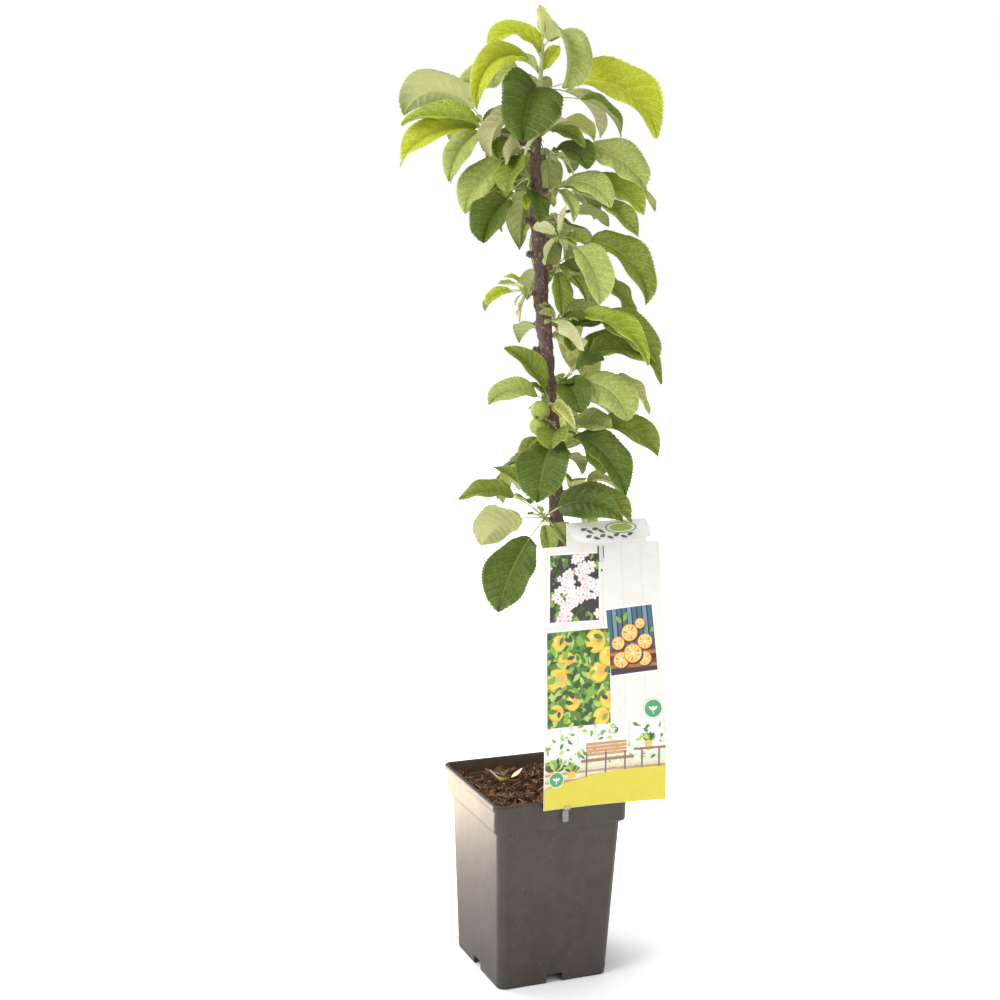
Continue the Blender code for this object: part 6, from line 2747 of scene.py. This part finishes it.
@dataclass
class Holder:
    """Clear strip that hooks over the lip and holds the card's foot."""

    def build(self) -> None:
        """Gives the strip's solid its clear finish."""
        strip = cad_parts["label_holder"]
        strip.data.materials.clear()
        strip.data.materials.append(ClearFinish("clear_strip").make())
        LOG.info("label_holder: the solid itself, slot strip")


@dataclass(frozen=True)
class PhotoCamera:
    """Camera fitted to the pot's corners: where it stands, and its focal length in pixels of 1000."""

    turn: float = radians(-22.73)
    lift: float = 0.1702
    distance: float = 1.7311
    focal: float = 1714.5
    frame_wide: float = 1000.0
    sensor: float = 36.0
    aim: Triple = (-0.0435, 0.0, 0.4907)
    roll: float = 0.0233

    def build(self) -> None:
        """Makes the camera and sets it as the scene's."""
        spin = Matrix.Rotation(self.turn, 3, "Z")
        back = spin @ Vector((0, -cos(self.lift), sin(self.lift)))
        level = spin @ Vector((1, 0, 0))
        rise = back.cross(level)
        right = cos(self.roll) * level + sin(self.roll) * rise
        up = -sin(self.roll) * level + cos(self.roll) * rise
        place = Matrix((right, up, back)).transposed().to_4x4()
        place.translation = spin @ Vector(self.aim) + back * self.distance
        data = bpy.data.cameras.new("camera")
        data.sensor_width = self.sensor
        data.lens = self.focal / self.frame_wide * self.sensor
        data.clip_start = 0.05
        camera = new_object("camera", data)
        camera.matrix_world = place
        bpy.context.scene.camera = camera


@dataclass(frozen=True)
class Lamp:
    """A soft square light: azimuth and height angle in degrees, distance, size, power, hue and aim."""

    name: str
    azimuth: float
    height: float
    distance: float
    size: float
    power: float
    colour: Triple = (1.0, 1.0, 1.0)
    aim: Triple = (0.0, 0.0, 0.45)

    def build(self) -> None:
        """Makes the light, turned to its aim and unseen by the camera."""
        aim = Vector(self.aim)
        a, e = radians(self.azimuth), radians(self.height)
        back = Vector((sin(a) * cos(e), -cos(a) * cos(e), sin(e)))
        data = bpy.data.lights.new(self.name, "AREA")
        data.energy = self.power
        data.color = self.colour
        data.size = self.size
        lamp = new_object(self.name, data)
        lamp.location = aim + back * self.distance
        lamp.rotation_mode = "QUATERNION"
        lamp.rotation_quaternion = (-back).to_track_quat("-Z", "Y")
        lamp.visible_camera = False


@dataclass
class Studio:
    """Pale floor, plain but for a painted light that grows away from the pot and washes out its cast shadow;
    a white surround that lights evenly, and soft lights.
    """

    surround: float = 0.58
    floor_half: float = 6.0
    lamps: tuple[Lamp, ...] = (
        Lamp("key", -74, 38, 1.9, 0.9, 24),
        Lamp("fill", 20, 26, 2.4, 1.6, 12),
        Lamp("rim", -150, 26, 2.0, 1.5, 27),
        Lamp("top", 0, 84, 1.9, 1.2, 9),
        Lamp("kicker", -157, 0, 0.42, 0.2, 1.3, (1.0, 0.80, 0.58), (-0.05, 0.0, 0.03)),
    )

    def build(self) -> None:
        """Makes floor, surround and lights."""
        bpy.context.scene.view_settings.view_transform = "Standard"
        self.build_surround()
        self.build_floor()
        for lamp in self.lamps:
            lamp.build()

    def build_surround(self) -> None:
        """Makes the surround: white to the camera, dimmer as a light."""
        world = bpy.data.worlds.new("surround")
        world.use_nodes = True
        wiring = Wiring(world.node_tree)
        seen = wiring.add("LightPath").outputs["Is Camera Ray"]
        strength = wiring.add("MapRange", {"Value": seen, "To Min": self.surround, "To Max": 1.0})
        background = wiring.tree.nodes["Background"]
        background.inputs["Color"].default_value = (1, 1, 1, 1)
        wiring.tree.links.new(strength.outputs[0], background.inputs["Strength"])
        bpy.context.scene.world = world

    def build_floor(self) -> None:
        """Makes the floor, a hair under the pot's foot; it glows brighter away from the pot, painted light
        that washes out the pot's cast shadow.
        """
        paint = Paint("floor_paint")
        paint.feed("Base Color", paint.patches((0.93, 0.93, 0.93), (0.9, 0.9, 0.9), scale=0.6, amount=0.4))
        place = paint.add("TexCoord").outputs["Object"]
        away = paint.add("VectorMath", {0: place}, operation="LENGTH").outputs["Value"]
        # Painted light: the floor's own emission, nil next to the pot and rising outwards, hides the pot's
        # cast shadow and brightens the pot's lower sides.
        glow = paint.add("MapRange", {"Value": away, "From Min": 0.08, "From Max": 0.42, "To Min": 0.0,
                                      "To Max": 0.75})
        paint.feed("Emission Color", glow.outputs[0])
        paint.fix(Roughness=0.9, Emission_Strength=1.0)
        half = self.floor_half
        mesh = bpy.data.meshes.new("floor")
        mesh.from_pydata([(-half, -half, -GAP), (half, -half, -GAP), (half, half, -GAP), (-half, half, -GAP)],
                         [], [(0, 1, 2, 3)])
        mesh.materials.append(paint.material)
        new_object("floor", mesh)


def main() -> None:
    """Builds and dresses every part of the potted tree."""
    logging.basicConfig(level=logging.INFO, format="%(name)s: %(message)s")
    PhotoCamera().build()
    Studio().build()
    pot = Pot()
    pot.build()
    Compost(pot).build()
    growth = Growth.grow()
    LOG.info("%d leaves placed", len(growth.leaves))
    Trunk().build()
    Spurs(growth).build()
    Foliage(growth).build()
    Fruit(growth).build()
    LabelCard().build()
    Holder().build()


if __name__ == "__main__":
    main()
